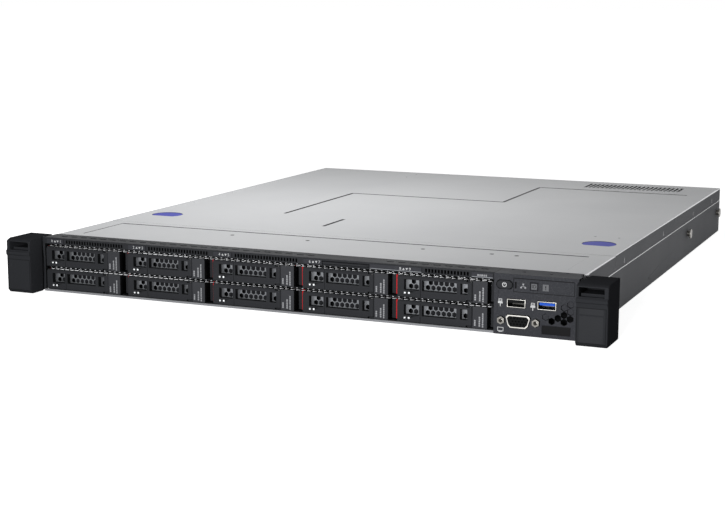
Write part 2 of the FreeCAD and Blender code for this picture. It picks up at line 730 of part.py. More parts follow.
def carrier_screen(x, z):
    """Perforated steel screen behind the handle's windows."""
    y = (FACE_Y + SCREEN_FRONT, FACE_Y + SCREEN_FRONT + SCREEN_THICK)
    inner = (x + HANDLE_LEFT + POST_WIDTH + LENS_DEPTH, x + PIVOT_U + HANDLE_THICK / 2 + CLEAR)
    plate = box(inner, y, (z + WEB, z + TRAY_HEIGHT - WEB))
    through = grown(y, 1.0)
    holes = []
    high = (z + WINDOW_LOW, z + WINDOW_HIGH)
    for left, right in WINDOWS:
        holes += honeycomb((x + left, x + right), high, through, HEX_FLATS, HEX_PITCH)
    return plate.cut(holes)


def drive(x, z):
    """2.5-inch drive with its plug recess at the rear."""
    middle = x + (CARRIER_LEFT + CARRIER_RIGHT) / 2
    front = FACE_Y + CARRIER_BLOCK + DRIVE_GAP
    y = (front, front + DRIVE_LENGTH)
    body = box(about(middle, DRIVE_WIDTH), y, about(z + TRAY_HEIGHT / 2, DRIVE_THICK))
    width, low, high, depth = DRIVE_PLUG
    return body.cut(box(about(middle, width), (y[1] - depth, y[1] + 1), (z + low, z + high)))


def drive_handle(x, z):
    """Perforated lever that hinges beside the label, with its two lamp lenses."""
    y = (FACE_Y, FACE_Y + HANDLE_THICK)
    pivot = (x + PIVOT_U, FACE_Y + HANDLE_THICK / 2)
    nose_z = (z + HANDLE_EAR + CLEAR, z + TRAY_HEIGHT - HANDLE_EAR - CLEAR)
    full = x + PIVOT_U - HANDLE_THICK / 2 - NECK
    plate = box((x + HANDLE_LEFT, full), y, (z, z + TRAY_HEIGHT))
    neck = box((full, pivot[0]), y, nose_z)
    nose = rod(HANDLE_THICK / 2, (pivot[0], pivot[1], nose_z[0]), (pivot[0], pivot[1], nose_z[1]))
    bore = rod(PIVOT_RADIUS + PIVOT_PLAY, (pivot[0], pivot[1], z), (pivot[0], pivot[1], z + TRAY_HEIGHT))
    through = grown(y, 1.0)
    windows = [window_box(window, x, through, z) for window in WINDOWS]
    lenses = [box(about(x + u, LENS), (y[0], y[0] + LENS_DEPTH), about(z + LENS_W, LENS)) for u in LENS_U]
    bevel_low = z + WINDOW_HIGH + BEVEL_RISE
    slope = [(y[0] - 1, bevel_low), (y[0], bevel_low), (y[0] + BEVEL_DEPTH, z + TRAY_HEIGHT),
             (y[0] - 1, z + TRAY_HEIGHT)]
    bevel = side_prism(slope, (x + HANDLE_LEFT, full))
    seam_u, seam_width = HANDLE_SEAM
    seam = box(about(x + seam_u, seam_width), (y[0] - 1, y[0] + seam_width), (z, z + TRAY_HEIGHT))
    lever = fused([plate, neck, nose]).cut([bore, bevel, seam] + windows + lenses)
    return [lever] + lenses


def pivot_pin(x, z):
    """Hinge pin of the handle, held by the carrier's lugs."""
    place = (x + PIVOT_U, FACE_Y + HANDLE_THICK / 2)
    low, high = z + HANDLE_EAR, z + TRAY_HEIGHT - HANDLE_EAR
    return rod(PIVOT_RADIUS, (place[0], place[1], low), (place[0], place[1], high))


def release_latch(x, z):
    """Sliding catch at the free end of the handle."""
    y = (FACE_Y + LATCH_FRONT, FACE_Y + LATCH_FRONT + LATCH_DEPTH)
    middle = z + TRAY_HEIGHT / 2
    face = box((x + LATCH_LEFT, x + LATCH_RIGHT), y, (z + LATCH_INSET, z + TRAY_HEIGHT - LATCH_INSET))
    tongue = box((x + LATCH_RIGHT, x + LATCH_RIGHT + TONGUE_LENGTH), about(sum(y) / 2, TONGUE_THICK),
                 about(middle, TONGUE_HEIGHT))
    return fused([face, tongue])


def drive_bays():
    for column in range(COLUMNS):
        for row in range(ROWS):
            bay = str(column * ROWS + ROWS - 1 - row)
            x, z = column_x(column), row_z(row)
            save("drive_carrier_" + bay, carrier_block(x, z), *carrier_rails(x, z),
                 carrier_screen(x, z), drive(x, z), pivot_pin(x, z))
            save("drive_handle_" + bay, *drive_handle(x, z))
            save("release_latch_" + bay, release_latch(x, z))


def drive_backplane():
    """Board behind the bays with a socket for each drive and air slots between them."""
    y = (FACE_Y + BACKPLANE_BACK, FACE_Y + BACKPLANE_BACK + BACKPLANE_THICK)
    board = box((CAGE_LEFT + CLEAR, BAYS_RIGHT), y, (SHEET + CLEAR, ROOF_LOW + CAGE_SHEET))
    drive_back = FACE_Y + CARRIER_BLOCK + DRIVE_GAP + DRIVE_LENGTH
    width, low, high = BACKPLANE_SOCKET
    slot_width, slot_low, slot_high = BACKPLANE_SLOT
    sockets, vents = [], []
    for column in range(COLUMNS):
        middle = column_x(column) + (CARRIER_LEFT + CARRIER_RIGHT) / 2
        for row in range(ROWS):
            z = row_z(row)
            sockets.append(box(about(middle, width), (drive_back + CLEAR, y[0]), (z + low, z + high)))
            vents.append(box(about(middle, slot_width), grown(y, 1.0), (z + slot_low, z + slot_high)))
    save("drive_backplane", board.cut(vents), *sockets)


# ---- front bezel, information tab ----

TAB_LEFT = column_x(TAB_COLUMN) + TAB_U
TAB_Z = STRIP_FLOOR + TAB_RISE


def strip_vents():
    """Upright slots of the strip, column by column."""
    slots = []
    z = (STRIP_FLOOR + VENT_FOOT, BODY_HEIGHT - VENT_HEAD)
    y = (FACE_Y - 1, FACE_Y + BEZEL_WALL + 1)
    for column, (left, right) in VENT_RUNS.items():
        slots += [box(about(column_x(column) + u, VENT_WIDTH), y, z) for u in row_of(left, right, VENT_PITCH)]
    return slots


def oval_holes():
    """Row of long holes in the strip's top."""
    holes = []
    y = about(FACE_Y + OVAL_SETBACK, OVAL_WIDTH)
    z = (COVER_UNDER - 1, BODY_HEIGHT + 1)
    end = (OVAL_LENGTH - OVAL_WIDTH) / 2
    for x in row_of(-HALF + OVAL_LENGTH, PANEL_LEFT - OVAL_WIDTH, OVAL_PITCH):
        if TAB_LEFT - OVAL_LENGTH < x < TAB_LEFT + TAB_WIDTH + OVAL_LENGTH:
            continue
        tips = [rod(OVAL_WIDTH / 2, (x + s * end, sum(y) / 2, z[0]), (x + s * end, sum(y) / 2, z[1]))
                for s in (-1, 1)]
        holes.append(box(about(x, 2 * end), y, z).fuse(tips))
    return holes


def number_plates():
    """Raised plates for the bay numbers."""
    last = column_x(COLUMNS - 1)
    runs = [(column_x(c) + PLATE_U, column_x(c) + PLATE_U + NUMBER_PLATE) for c in range(COLUMNS - 1)]
    runs += [(last + LONG_PLATE[0], last + LONG_PLATE[1]), (last + END_PLATE[0], last + END_PLATE[1])]
    z = (STRIP_FLOOR + PLATE_FOOT, BODY_HEIGHT - PLATE_HEAD)
    return [box(run, (FACE_Y - PLATE_PROUD, FACE_Y), z) for run in runs]


def tab_limits(play):
    """Cross-section of the information tab, with play around it."""
    return grown((TAB_LEFT, TAB_LEFT + TAB_WIDTH), play), grown((TAB_Z, TAB_Z + TAB_THICK), play)


def front_bezel():
    """Vented strip with the tab's sleeve, and the leg beside the first column."""
    back = TOP_FRONT - LAY
    leg_left = -HALF - LEG_REACH
    face = box((leg_left, PANEL_LEFT), (FACE_Y, FACE_Y + BEZEL_WALL), (STRIP_FLOOR, BODY_HEIGHT))
    roof = box((-HALF, PANEL_LEFT), (FACE_Y + BEZEL_WALL, back), (COVER_UNDER, BODY_HEIGHT))
    hole_x, hole_z = tab_limits(CLEAR)
    sleeve = box(grown(hole_x, BEZEL_WALL), (FACE_Y + BEZEL_WALL, back), (STRIP_FLOOR, COVER_UNDER))
    shell = fused([face, roof, sleeve] + number_plates())
    tab_hole = box(hole_x, (FACE_Y - 2, back + 1), hole_z)
    leg = box((leg_left, leg_left + LEG_WIDTH), (FACE_Y, FACE_Y + HANDLE_THICK), (LIP_HEIGHT, STRIP_FLOOR))
    save("front_bezel", shell.cut(strip_vents() + oval_holes() + [tab_hole]), leg)


def info_tab():
    """Pull-out blade with its grip."""
    x, z = tab_limits(0)
    blade = box(x, (FACE_Y, FACE_Y + TAB_LENGTH), z)
    grip = box(grown(x, -1.0), (FACE_Y - TAB_LIP, FACE_Y), grown(z, -LAY))
    save("info_tab", fused([blade, grip]))


# ---- operator panel ----

PANEL_FRONT_Y = FACE_Y - PANEL_REACH
PANEL_BACK_Y = PANEL_FRONT_Y + PANEL_WALL
SWITCH_Y = IO_BOARD_Y - SWITCH_LENGTH
FLANGE_Y = PANEL_BACK_Y + CLEAR


def vga_outline(grow, y):
    """D-shaped outline of the video connector."""
    half, tall = VGA_WIDTH / 2 + grow, VGA_HEIGHT / 2 + grow
    lean = 2 * tall * math.tan(math.radians(VGA_LEAN))
    right = [(half - VGA_CORNER, tall), (half, tall - VGA_CORNER),
             (half - lean, -tall + VGA_CORNER), (half - lean - VGA_CORNER, -tall)]
    points = right + [(-x, z) for x, z in reversed(right)]
    return prism([(VGA_X + x, y[0], VGA_Z + z) for x, z in points], (0, y[1] - y[0], 0))


def jack_places():
    """Centres of the two jackscrews beside the video connector."""
    return [VGA_X + s * JACK_SPACING / 2 for s in (-1, 1)]


def panel_holes():
    """Hexagonal vents beside the video connector, as (column, row, through)."""
    return [(1, -0.5, True), (2, 0, True), (3, -0.5, True), (3, 0.5, True), (4, 0, True), (0, 0, False),
            (3, 1.5, False), (4, 1, False), (4, 2, False)]


def panel_shell():
    """Front wall with a roof and two side walls behind it."""
    front = box((PANEL_LEFT, PANEL_RIGHT), (PANEL_FRONT_Y, PANEL_BACK_Y), (0, BODY_HEIGHT))
    behind = BAYS_RIGHT + LAY
    shell_y = (PANEL_BACK_Y, TOP_FRONT - LAY)
    shell_z = (SHEET + LAY, COVER_UNDER)
    inner = UPPER_X - SHEET - LAY
    roof = box((PANEL_LEFT, PANEL_RIGHT), (PANEL_BACK_Y, WALL_FRONT), (COVER_UNDER, BODY_HEIGHT))
    roof_back = box((PANEL_LEFT, inner), (WALL_FRONT, shell_y[1]), (COVER_UNDER, BODY_HEIGHT))
    side = box((behind, behind + BEZEL_WALL), shell_y, shell_z)
    other = box((inner - BEZEL_WALL, inner), shell_y, shell_z)
    return fused([front, roof, roof_back, side, other])


def panel_cuts():
    """Openings for buttons, sockets, jackscrews, vents and the sunk blank plates."""
    before = PANEL_FRONT_Y - 1
    through = (before, PANEL_BACK_Y + 1)
    around = 2 * PANEL_PLAY
    slot_x, slot_width, slot_height, slot_depth = LIGHT_SLOT
    cuts = [pill(BUTTON_X, BUTTON_Z, BUTTON_WIDTH + around, BUTTON_HEIGHT + around,
                 (before, FLANGE_Y + BUTTON_TRAVEL + CLEAR)),
            box(about(ID_X, ID_SIZE + around), through, about(BUTTON_Z, ID_SIZE + around)),
            box(about(slot_x, slot_width), (before, PANEL_FRONT_Y + slot_depth),
                about(BUTTON_Z, slot_height)),
            box(OPERATOR_PLATE[:2], (before, PANEL_FRONT_Y + PLATE_SINK), OPERATOR_PLATE[2:]),
            box(BLANK_BADGE[:2], (before, PANEL_FRONT_Y + BADGE_SINK), BLANK_BADGE[2:]),
            vga_outline(PANEL_PLAY, through)]
    cuts += [box(about(x, USB_WIDTH + around), through, about(USB_Z, USB_HEIGHT + around)) for x in USB_X]
    cuts += [hexagon(x, VGA_Z, JACK_FLATS + around, through) for x in jack_places()]
    for column, row, open_hole in panel_holes():
        depth = through if open_hole else (before, PANEL_FRONT_Y + BUTTON_TRAVEL)
        cuts.append(hexagon(HOLE_X + column * HOLE_DX, HOLE_Z + row * HOLE_DZ, HOLE_FLATS, depth))
    return cuts + [top_drill(SMALL_HOLE, PANEL_LEFT + x, y) for x, y in ROOF_HOLES]


def io_panel():
    save("io_panel", panel_shell().cut(panel_cuts()))


def button(cap, x, flange, stem):
    """Cap with a flange behind the panel and a stem to its switch."""
    stem_y = (FLANGE_Y + BUTTON_FLANGE, SWITCH_Y - BUTTON_TRAVEL - LAY)
    return fused([cap, box(about(x, flange[0]), (FLANGE_Y, stem_y[0]), about(BUTTON_Z, flange[1])),
                  box(about(x, stem), stem_y, about(BUTTON_Z, stem))])


def power_button():
    cap = pill(BUTTON_X, BUTTON_Z, BUTTON_WIDTH, BUTTON_HEIGHT, (PANEL_FRONT_Y - BUTTON_PROUD, FLANGE_Y))
    flange = (BUTTON_WIDTH - BUTTON_HEIGHT, BUTTON_HEIGHT + 2 * BUTTON_TRAVEL)
    save("power_button", button(cap, BUTTON_X, flange, BUTTON_STEM))


def id_button():
    cap = box(about(ID_X, ID_SIZE), (PANEL_FRONT_Y - BUTTON_PROUD / 2, FLANGE_Y), about(BUTTON_Z, ID_SIZE))
    flange = ID_SIZE + 2 * BUTTON_FLANGE
    save("id_button", button(cap, ID_X, (flange, flange), ID_STEM))


def usb_shell(x, z, mouth, length, run):
    """Sheet shell and contact tongue of a USB socket; run is +1 or -1 along Y into the socket."""
    y = tuple(sorted((mouth, mouth + run * length)))
    shell = box(about(x, USB_WIDTH), y, about(z, USB_HEIGHT))
    cavity_end = mouth + run * (length - USB_FLOOR)
    cavity_y = tuple(sorted((mouth - run, cavity_end)))
    cavity = box(about(x, USB_WIDTH - 2 * USB_WALL), cavity_y, about(z, USB_HEIGHT - 2 * USB_WALL))
    tongue_y = tuple(sorted((mouth + run, cavity_end)))
    tongue = box(about(x, USB_WIDTH - USB_TONGUE[0]), tongue_y, (z + USB_TONGUE[1], z + USB_TONGUE[2]))
    return [shell.cut(cavity), tongue]


def video_core(ring_y):
    """Plastic core of the video connector with its fifteen contact holes."""
    core = vga_outline(-VGA_WALL, (ring_y[0] + VGA_WALL, ring_y[1] - VGA_FLOOR))
    pitch_x, pitch_z = VGA_PIN_PITCH
    holes = []
    for line in (-1, 0, 1):
        shift = pitch_x / 4 if line == 0 else -pitch_x / 4
        holes += [rod(VGA_PIN, (VGA_X + k * pitch_x + shift, ring_y[0], VGA_Z + line * pitch_z),
                      (VGA_X + k * pitch_x + shift, ring_y[0] + VGA_FLOOR, VGA_Z + line * pitch_z))
                  for k in (-2, -1, 0, 1, 2)]
    return core.cut(holes)


def front_ports():
    """Two USB sockets and the video connector of the operator panel."""
    mouth = PANEL_FRONT_Y - USB_PROUD
    usb = [piece for x in USB_X for piece in usb_shell(x, USB_Z, mouth, IO_BOARD_Y - mouth, 1)]
    ring_y = (PANEL_FRONT_Y - VGA_PROUD, IO_BOARD_Y)
    ring = vga_outline(0, ring_y).cut(vga_outline(-VGA_WALL, (ring_y[0] - 1, ring_y[1] - VGA_FLOOR)))
    jacks = []
    for x in jack_places():
        front = PANEL_FRONT_Y - JACK_PROUD + VGA_PROUD
        bolt = hexagon(x, VGA_Z, JACK_FLATS, (front, IO_BOARD_Y))
        jacks.append(bolt.cut(rod(JACK_BORE, (x, front - 1, VGA_Z), (x, front + 2 * JACK_PROUD, VGA_Z))))
    save("front_ports", *usb, ring, video_core(ring_y), *jacks)


def front_io_board():
    """Board behind the operator panel with two switches and its cable socket."""
    x = (BAYS_RIGHT + LAY + BEZEL_WALL, UPPER_X - SHEET - LAY - BEZEL_WALL)
    board = box(x, (IO_BOARD_Y, IO_BOARD_Y + BOARD), (SHEET + LAY, COVER_UNDER))
    switches = [box(about(centre, SWITCH_SIZE), (SWITCH_Y, IO_BOARD_Y), about(BUTTON_Z, SWITCH_SIZE))
                for centre in (BUTTON_X, ID_X)]
    width, depth, low, high = IO_SOCKET
    socket_y = (IO_BOARD_Y + BOARD, IO_BOARD_Y + BOARD + depth)
    save("front_io_board", board, *switches, box(about(ID_X, width), socket_y, (low, high)))


# ---- rack ears ----

def ear_profile():
    """Side view of the moulded ear."""
    lip_front, lip_back = EAR_FRONT - LIP_PROUD, LIP_LOW + RECESS_SILL + LIP_PROUD
    return [(EAR_FRONT + EAR_LOW_CUT, 0), (-EAR_PLATE, 0), (-EAR_PLATE, BODY_HEIGHT),
            (EAR_FRONT + EAR_TOP_RUN, BODY_HEIGHT), (EAR_FRONT, BODY_HEIGHT - EAR_TOP_SLOPE),
            (EAR_FRONT, lip_back + LIP_RAMP), (lip_front, lip_back - LIP_RAMP / 4), (lip_front, LIP_LOW),
            (EAR_FRONT, LIP_LOW - LIP_RAMP), (EAR_FRONT, EAR_LOW_CUT)]


def hook_window():
    """Window of the flange through which the latch hook reaches."""
    low = HOOK_LOW - EAR_TRAVEL - CLEAR
    return about(sum(RECESS_X) / 2, HOOK_WIDE + 2 * CLEAR), (low, HOOK_LOW + HOOK_TALL + CLEAR)


def rack_ear():
    """Moulded ear with its steel bracket, right-hand side."""
    block = side_prism(ear_profile(), (EAR_INNER, RACK_HALF))
    step = box((EAR_INNER - 1, EAR_INNER_BACK), (EAR_STEP_Y, 1), (-1, BODY_HEIGHT + 1))
    hollow = box((EAR_INNER_BACK + EAR_WALL, RACK_HALF - EAR_WALL), (EAR_FRONT + EAR_WALL, 0),
                 (2 * EAR_WALL, RECESS_LOW - EAR_WALL))
    mouth_y = EAR_FRONT + EAR_WALL
    well = box(RECESS_X, (mouth_y, RECESS_BACK), (RECESS_LOW - EAR_WALL - 1, RECESS_HIGH))
    mouth = box(RECESS_X, (EAR_FRONT - 2 * LIP_PROUD, mouth_y), (RECESS_LOW + RECESS_SILL, RECESS_HIGH))
    cap = block.cut([step, hollow, well, mouth])
    window_x, window_z = hook_window()
    flange = box((HALF, RACK_HALF - 1.0), (-EAR_PLATE, 0), (1.0, BODY_HEIGHT - 1.0))
    flange = flange.cut(box(window_x, (-EAR_PLATE - 1, 1), window_z))
    leg = box((HALF, HALF + BRACKET_THICK), (0, BRACKET_BACK), (BRACKET_LOW, LEDGE_Z - EAR_PLATE))
    return [cap, fused([flange, leg])]


def ear_latch():
    """Sprung trigger in the finger recess with the hook behind the ear, right-hand side."""
    inside = grown(RECESS_X, -CLEAR)
    front, back = EAR_FRONT + EAR_WALL + TRIGGER_SETBACK, RECESS_BACK - CLEAR
    low = RECESS_LOW + RECESS_SILL / 2
    trigger = box(inside, (front, back), (low, low + TRIGGER_THICK))
    ridge_z = (low + TRIGGER_THICK, low + TRIGGER_THICK + RECESS_SILL / 2)
    ridge = box(inside, (front, front + TRIGGER_THICK), ridge_z)
    wide = about(sum(RECESS_X) / 2, HOOK_WIDE)
    barb_run, barb_rise = BARB
    stem = box(wide, (back - barb_run, back), (HOOK_LOW, low))
    top = HOOK_LOW + HOOK_TALL
    arm = box(wide, (back, HOOK_TIP), (HOOK_LOW, top))
    slope = [(HOOK_TIP - barb_run, top), (HOOK_TIP, top), (HOOK_TIP - barb_run, top + barb_rise)]
    barb = side_prism(slope, wide)
    return [fused([trigger, ridge, stem, arm, barb])]


def rack_ears():
    save("rack_ear_right", *rack_ear())
    save("rack_ear_left", *[mirrored(solid) for solid in rack_ear()])
    save("ear_latch_right", *ear_latch())
    save("ear_latch_left", *[mirrored(solid) for solid in ear_latch()])


# ---- fans ----

FAN_Z = SHEET + CAGE_SHEET + FAN_SIZE / 2


def fan_frame(x, z, front):
    """Square frame with its motor mount on struts at the back."""
    back = front + FAN_DEPTH
    block = box(about(x, FAN_SIZE), (front, back), about(z, FAN_SIZE))
    block = block.cut(rod(FAN_BORE, (x, front - 1, z), (x, back + 1, z)))
    mount = rod(HUB_RADIUS, (x, back - STATOR, z), (x, back, z))
    strut_y = (back - STATOR, back)
    struts = [box(about(x, 2 * FAN_BORE + 1), strut_y, about(z, STRUT)),
              box(about(x, STRUT), strut_y, about(z, 2 * FAN_BORE + 1))]
    bush = rod(SHAFT_RADIUS + SHAFT_PLAY, (x, back - STATOR - 1, z), (x, back + 1, z))
    return fused([block, mount] + struts).cut(bush)


def fan_rotor(x, z, front, blades):
    """Hub, shaft and pitched blades."""
    hub_y = (front + HUB_SETBACK, front + FAN_DEPTH - STATOR - CLEAR)
    tip = FAN_BORE - TIP_GAP
    hub = rod(HUB_RADIUS, (x, hub_y[0], z), (x, hub_y[1], z))
    shaft = rod(SHAFT_RADIUS, (x, hub_y[1], z), (x, front + FAN_DEPTH - CLEAR, z))
    sweep = rod(tip, (x, hub_y[0] + 1.0, z), (x, hub_y[1] - 1.0, z))
    chord = (hub_y[1] - hub_y[0] - 2 * HUB_SETBACK) / math.cos(math.radians(BLADE_TILT))
    pieces = []
    for k in range(blades):
        blade = box(about(0, BLADE_THICK), about(0, chord), (HUB_RADIUS - 1.0, tip + 1.0))
        blade.rotate(V(0, 0, 0), V(0, 0, 1), BLADE_TILT)
        blade.rotate(V(0, 0, 0), V(0, 1, 0), 360.0 * k / blades)
        blade.translate(V(x, sum(hub_y) / 2, z))
        pieces.append(blade.common(sweep))
    return fused([hub, shaft] + pieces)


def fans():
    plate_y = (FAN_Y - CAGE_SHEET, FAN_Y)
    wide = (FAN_X[0] - FAN_SIZE, FAN_X[-1] + FAN_SIZE)
    dam = box(wide, plate_y, (SHEET + CAGE_SHEET, SHEET + CAGE_SHEET + FAN_SIZE))
    dam = dam.cut([rod(FAN_BORE, (x, plate_y[0] - 1, FAN_Z), (x, plate_y[1] + 1, FAN_Z)) for x in FAN_X])
    tray = box(wide, (plate_y[0], FAN_Y + FAN_DEPTH), (SHEET, SHEET + CAGE_SHEET))
    save("fan_frames", fused([dam, tray]), *[fan_frame(x, FAN_Z, FAN_Y) for x in FAN_X])
    for number, x in enumerate(FAN_X, 1):
        save("fan_rotor_" + str(number), fan_rotor(x, FAN_Z, FAN_Y, BLADES))


# ---- board, processor, memory ----

BOARD_TOP = BOARD_Z + BOARD


def on_board(x, y, wide, deep, height):
    """Block soldered on the board."""
    return box(about(x, wide), about(y, deep), (BOARD_TOP, BOARD_TOP + height))


def board_parts():
    """Soldered parts of the system board."""
    chip_z = BOARD_TOP + SOCKET_THICK
    parts = [on_board(CPU_X, CPU_Y, SOCKET, SOCKET, SOCKET_THICK),
             box(about(CPU_X, CPU_SIZE), about(CPU_Y, CPU_SIZE), (chip_z, chip_z + CPU_THICK))]
    socket_length = DIMM_LENGTH + DIMM_SOCKET + 2.0
    middle = DIMM_Y + DIMM_LENGTH / 2
    parts += [on_board(DIMM_X + k * DIMM_PITCH, middle, DIMM_SOCKET, socket_length, DIMM_SEAT)
              for k in range(DIMMS)]
    for y in row_of(CPU_Y - SINK_Y / 2, CPU_Y + SINK_Y / 2, COIL_PITCH):
        parts.append(on_board(CPU_X - SINK_X / 2 - COIL_GAP, y, COIL, COIL, COIL_HEIGHT))
        x = CPU_X + SINK_X / 2 + COIL_GAP
        parts.append(rod(CAN[0], (x, y, BOARD_TOP), (x, y, BOARD_TOP + CAN[1])))
    left, right, rear = BOARD_X[0], BOARD_X[1], BOARD_Y[1]
    for x, y, wide, deep, height in ((CPU_X + 30.0, rear - 115.0, 26.0, 26.0, 9.0),
                                     (left + 62.0, rear - 125.0, 19.0, 19.0, 1.6),
                                     (left + 32.0, rear - 165.0, 22.0, 80.0, 4.0),
                                     (right - 12.0, rear - 75.0, 10.0, 52.0, 12.0)):
        parts.append(on_board(x, y, wide, deep, height))
    x, y = left + 112.0, rear - 105.0
    parts.append(rod(COIN[0], (x, y, BOARD_TOP), (x, y, BOARD_TOP + COIN[1])))
    return parts


def system_board():
    board = box(BOARD_X, BOARD_Y, (BOARD_Z, BOARD_TOP))
    save("system_board", board, *board_parts())


def heat_sink():
    low = BOARD_TOP + SOCKET_THICK + CPU_THICK
    wide, deep = about(CPU_X, SINK_X), about(CPU_Y, SINK_Y)
    base = box(wide, deep, (low, low + SINK_BASE))
    fins = [box(about(x, FIN_THICK), deep, (low + SINK_BASE, SINK_TOP))
            for x in row_of(wide[0], wide[1], FIN_PITCH)]
    save("heat_sink", fused([base] + fins))


def memory_modules():
    """Memory cards with chips on both faces."""
    modules = []
    low = BOARD_TOP + DIMM_SEAT
    high = BOARD_TOP + DIMM_HEIGHT
    for k in range(DIMMS):
        x = DIMM_X + k * DIMM_PITCH
        card = box(about(x, DIMM_THICK), (DIMM_Y, DIMM_Y + DIMM_LENGTH), (low, high))
        chip_x = about(x, DIMM_THICK + 2 * CHIP_THICK)
        chip_z = about((low + high) / 2, 1.3 * CHIP)
        chips = [box(chip_x, about(y, CHIP), chip_z)
                 for y in row_of(DIMM_Y, DIMM_Y + DIMM_LENGTH, (DIMM_LENGTH - 1.0) / CHIPS)]
        modules.append(fused([card] + chips))
    save("memory_modules", *modules)


def air_baffle():
    x = (CPU_X - SINK_X / 2 - BAFFLE_GAP, DIMM_X + DIMMS * DIMM_PITCH + BAFFLE_EDGE)
    y = (FAN_Y + FAN_DEPTH + 2 * BAFFLE_EDGE, BAFFLE_BACK)
    roof = box(x, y, (WALL_TOP - BAFFLE_WALL, WALL_TOP - LAY))
    walls = [box(limits, y, (BOARD_TOP, WALL_TOP - BAFFLE_WALL))
             for limits in ((x[0], x[0] + BAFFLE_WALL), (x[1] - BAFFLE_WALL, x[1]))]
    save("air_baffle", fused([roof] + walls))


# ---- power supply ----

SUPPLY_Z = SHEET + LAY
SUPPLY_FRONT = REAR_Y - SUPPLY_LENGTH
SUPPLY_FAN_Z = SUPPLY_Z + SUPPLY_HEIGHT / 2
SUPPLY_FAN_SIZE = SUPPLY_HEIGHT - 2 * SUPPLY_WALL


def supply_case():
    """Sheet box with a honeycomb grille, an inlet window and intake slots."""
    x = (SUPPLY_LEFT, SUPPLY_LEFT + SUPPLY_WIDTH)
    y = (SUPPLY_FRONT, REAR_Y)
    z = (SUPPLY_Z, SUPPLY_Z + SUPPLY_HEIGHT)
    case = box(x, y, z).cut(box(grown(x, -SUPPLY_WALL), grown(y, -SUPPLY_WALL), grown(z, -SUPPLY_WALL)))
    rear = (REAR_Y - SUPPLY_WALL - 1, REAR_Y + 1)
    reach = SUPPLY_FAN_SIZE - VENT_MARGIN
    grille = honeycomb(about(SUPPLY_FAN_X, reach), about(SUPPLY_FAN_Z, reach), rear, HEX_VENT, HEX_VENT_PITCH)
    window = box(about(INLET_X, INLET_WIDTH + 2 * LAY), rear, about(INLET_Z, INLET_HEIGHT + 2 * LAY))
    front = (SUPPLY_FRONT - 1, SUPPLY_FRONT + SUPPLY_WALL + 1)
    intake = [box(about(slot, INTAKE_WIDTH), front, grown(z, -INTAKE_MARGIN))
              for slot in row_of(x[0] + INTAKE_MARGIN, x[1] - INTAKE_MARGIN, INTAKE_PITCH)]
    return case.cut(grille + [window] + intake)


def supply_inlet():
    """Three-pin mains inlet."""
    y = (REAR_Y - INLET_DEPTH - INLET_WALL - 2.0, REAR_Y + 1.0)
    body = box(about(INLET_X, INLET_WIDTH), y, about(INLET_Z, INLET_HEIGHT))
    width, height = INLET_CAVITY
    cavity = box(about(INLET_X, width), (y[1] - INLET_DEPTH, y[1] + 1), about(INLET_Z, height))
    pins = [box(about(INLET_X + dx, INLET_PIN[0]), (y[1] - INLET_DEPTH, y[1] - INLET_PIN[2]),
                about(INLET_Z + dz, INLET_PIN[1])) for dx, dz in INLET_PINS]
    return [body.cut(cavity)] + pins


def supply_fan_front():
    return REAR_Y - SUPPLY_WALL - INLET_WALL - FAN_DEPTH


def supply_board():
    """Circuit board of the supply on four feet, and its large parts."""
    low = SUPPLY_Z + SUPPLY_WALL
    floor = low + SUPPLY_BOARD_RISE
    top = floor + BOARD
    x = (SUPPLY_LEFT + SUPPLY_BOARD_INSET, SUPPLY_LEFT + SUPPLY_WIDTH - SUPPLY_BOARD_INSET)
    y = (SUPPLY_FRONT + SUPPLY_BOARD_INSET, supply_fan_front() - INTAKE_MARGIN)
    corners = [(px, py) for px in grown(x, -2 * STAND_RADIUS) for py in grown(y, -2 * STAND_RADIUS)]
    feet = [box(about(px, 2 * STAND_RADIUS), about(py, 2 * STAND_RADIUS), (low, floor)) for px, py in corners]
    solids = [fused([box(x, y, (floor, top))] + feet)]
    for dx, dy, wide, deep, height in ((28.0, 52.5, 34.0, 34.0, 30.0), (73.0, 47.5, 30.0, 44.0, 26.0),
                                       (76.0, 112.5, 12.0, 60.0, 32.0)):
        solids.append(box(about(SUPPLY_LEFT + dx, wide), about(SUPPLY_FRONT + dy, deep), (top, low + height)))
    x, y = SUPPLY_LEFT + 38.0, SUPPLY_FRONT + 112.5
    return solids + [rod(12.0, (x, y, top), (x, y, low + 30.0))]


def power_supply():
    """Fixed supply: case, inlet, fan frame and its circuit board."""
    frame = fan_frame(SUPPLY_FAN_X, SUPPLY_FAN_Z, supply_fan_front())
    trim = box(about(SUPPLY_FAN_X, SUPPLY_FAN_SIZE), (0, REAR_Y), about(SUPPLY_FAN_Z, SUPPLY_FAN_SIZE))
    save("power_supply", supply_case(), *supply_inlet(), frame.common(trim), *supply_board())
    save("supply_rotor", fan_rotor(SUPPLY_FAN_X, SUPPLY_FAN_Z, supply_fan_front(), SUPPLY_BLADES))


# ---- rear ----

def rj_socket(x):
    """Network socket: a shell round its cavity, closed by a block behind."""
    back, mouth = REAR_Y - PORT_DEPTH, REAR_Y + PORT_PROUD
    z = (PORT_FLOOR, PORT_FLOOR + RJ_HEIGHT)
    width, low, high = RJ_MOUTH
    shell = box(about(x, RJ_WIDTH), (back + RJ_FLOOR, mouth), z)
    cavity = box(about(x, width), (back, mouth + 1), (z[0] + low, z[0] + high))
    return [shell.cut(cavity), box(about(x, RJ_WIDTH), (back, back + RJ_FLOOR), z)]


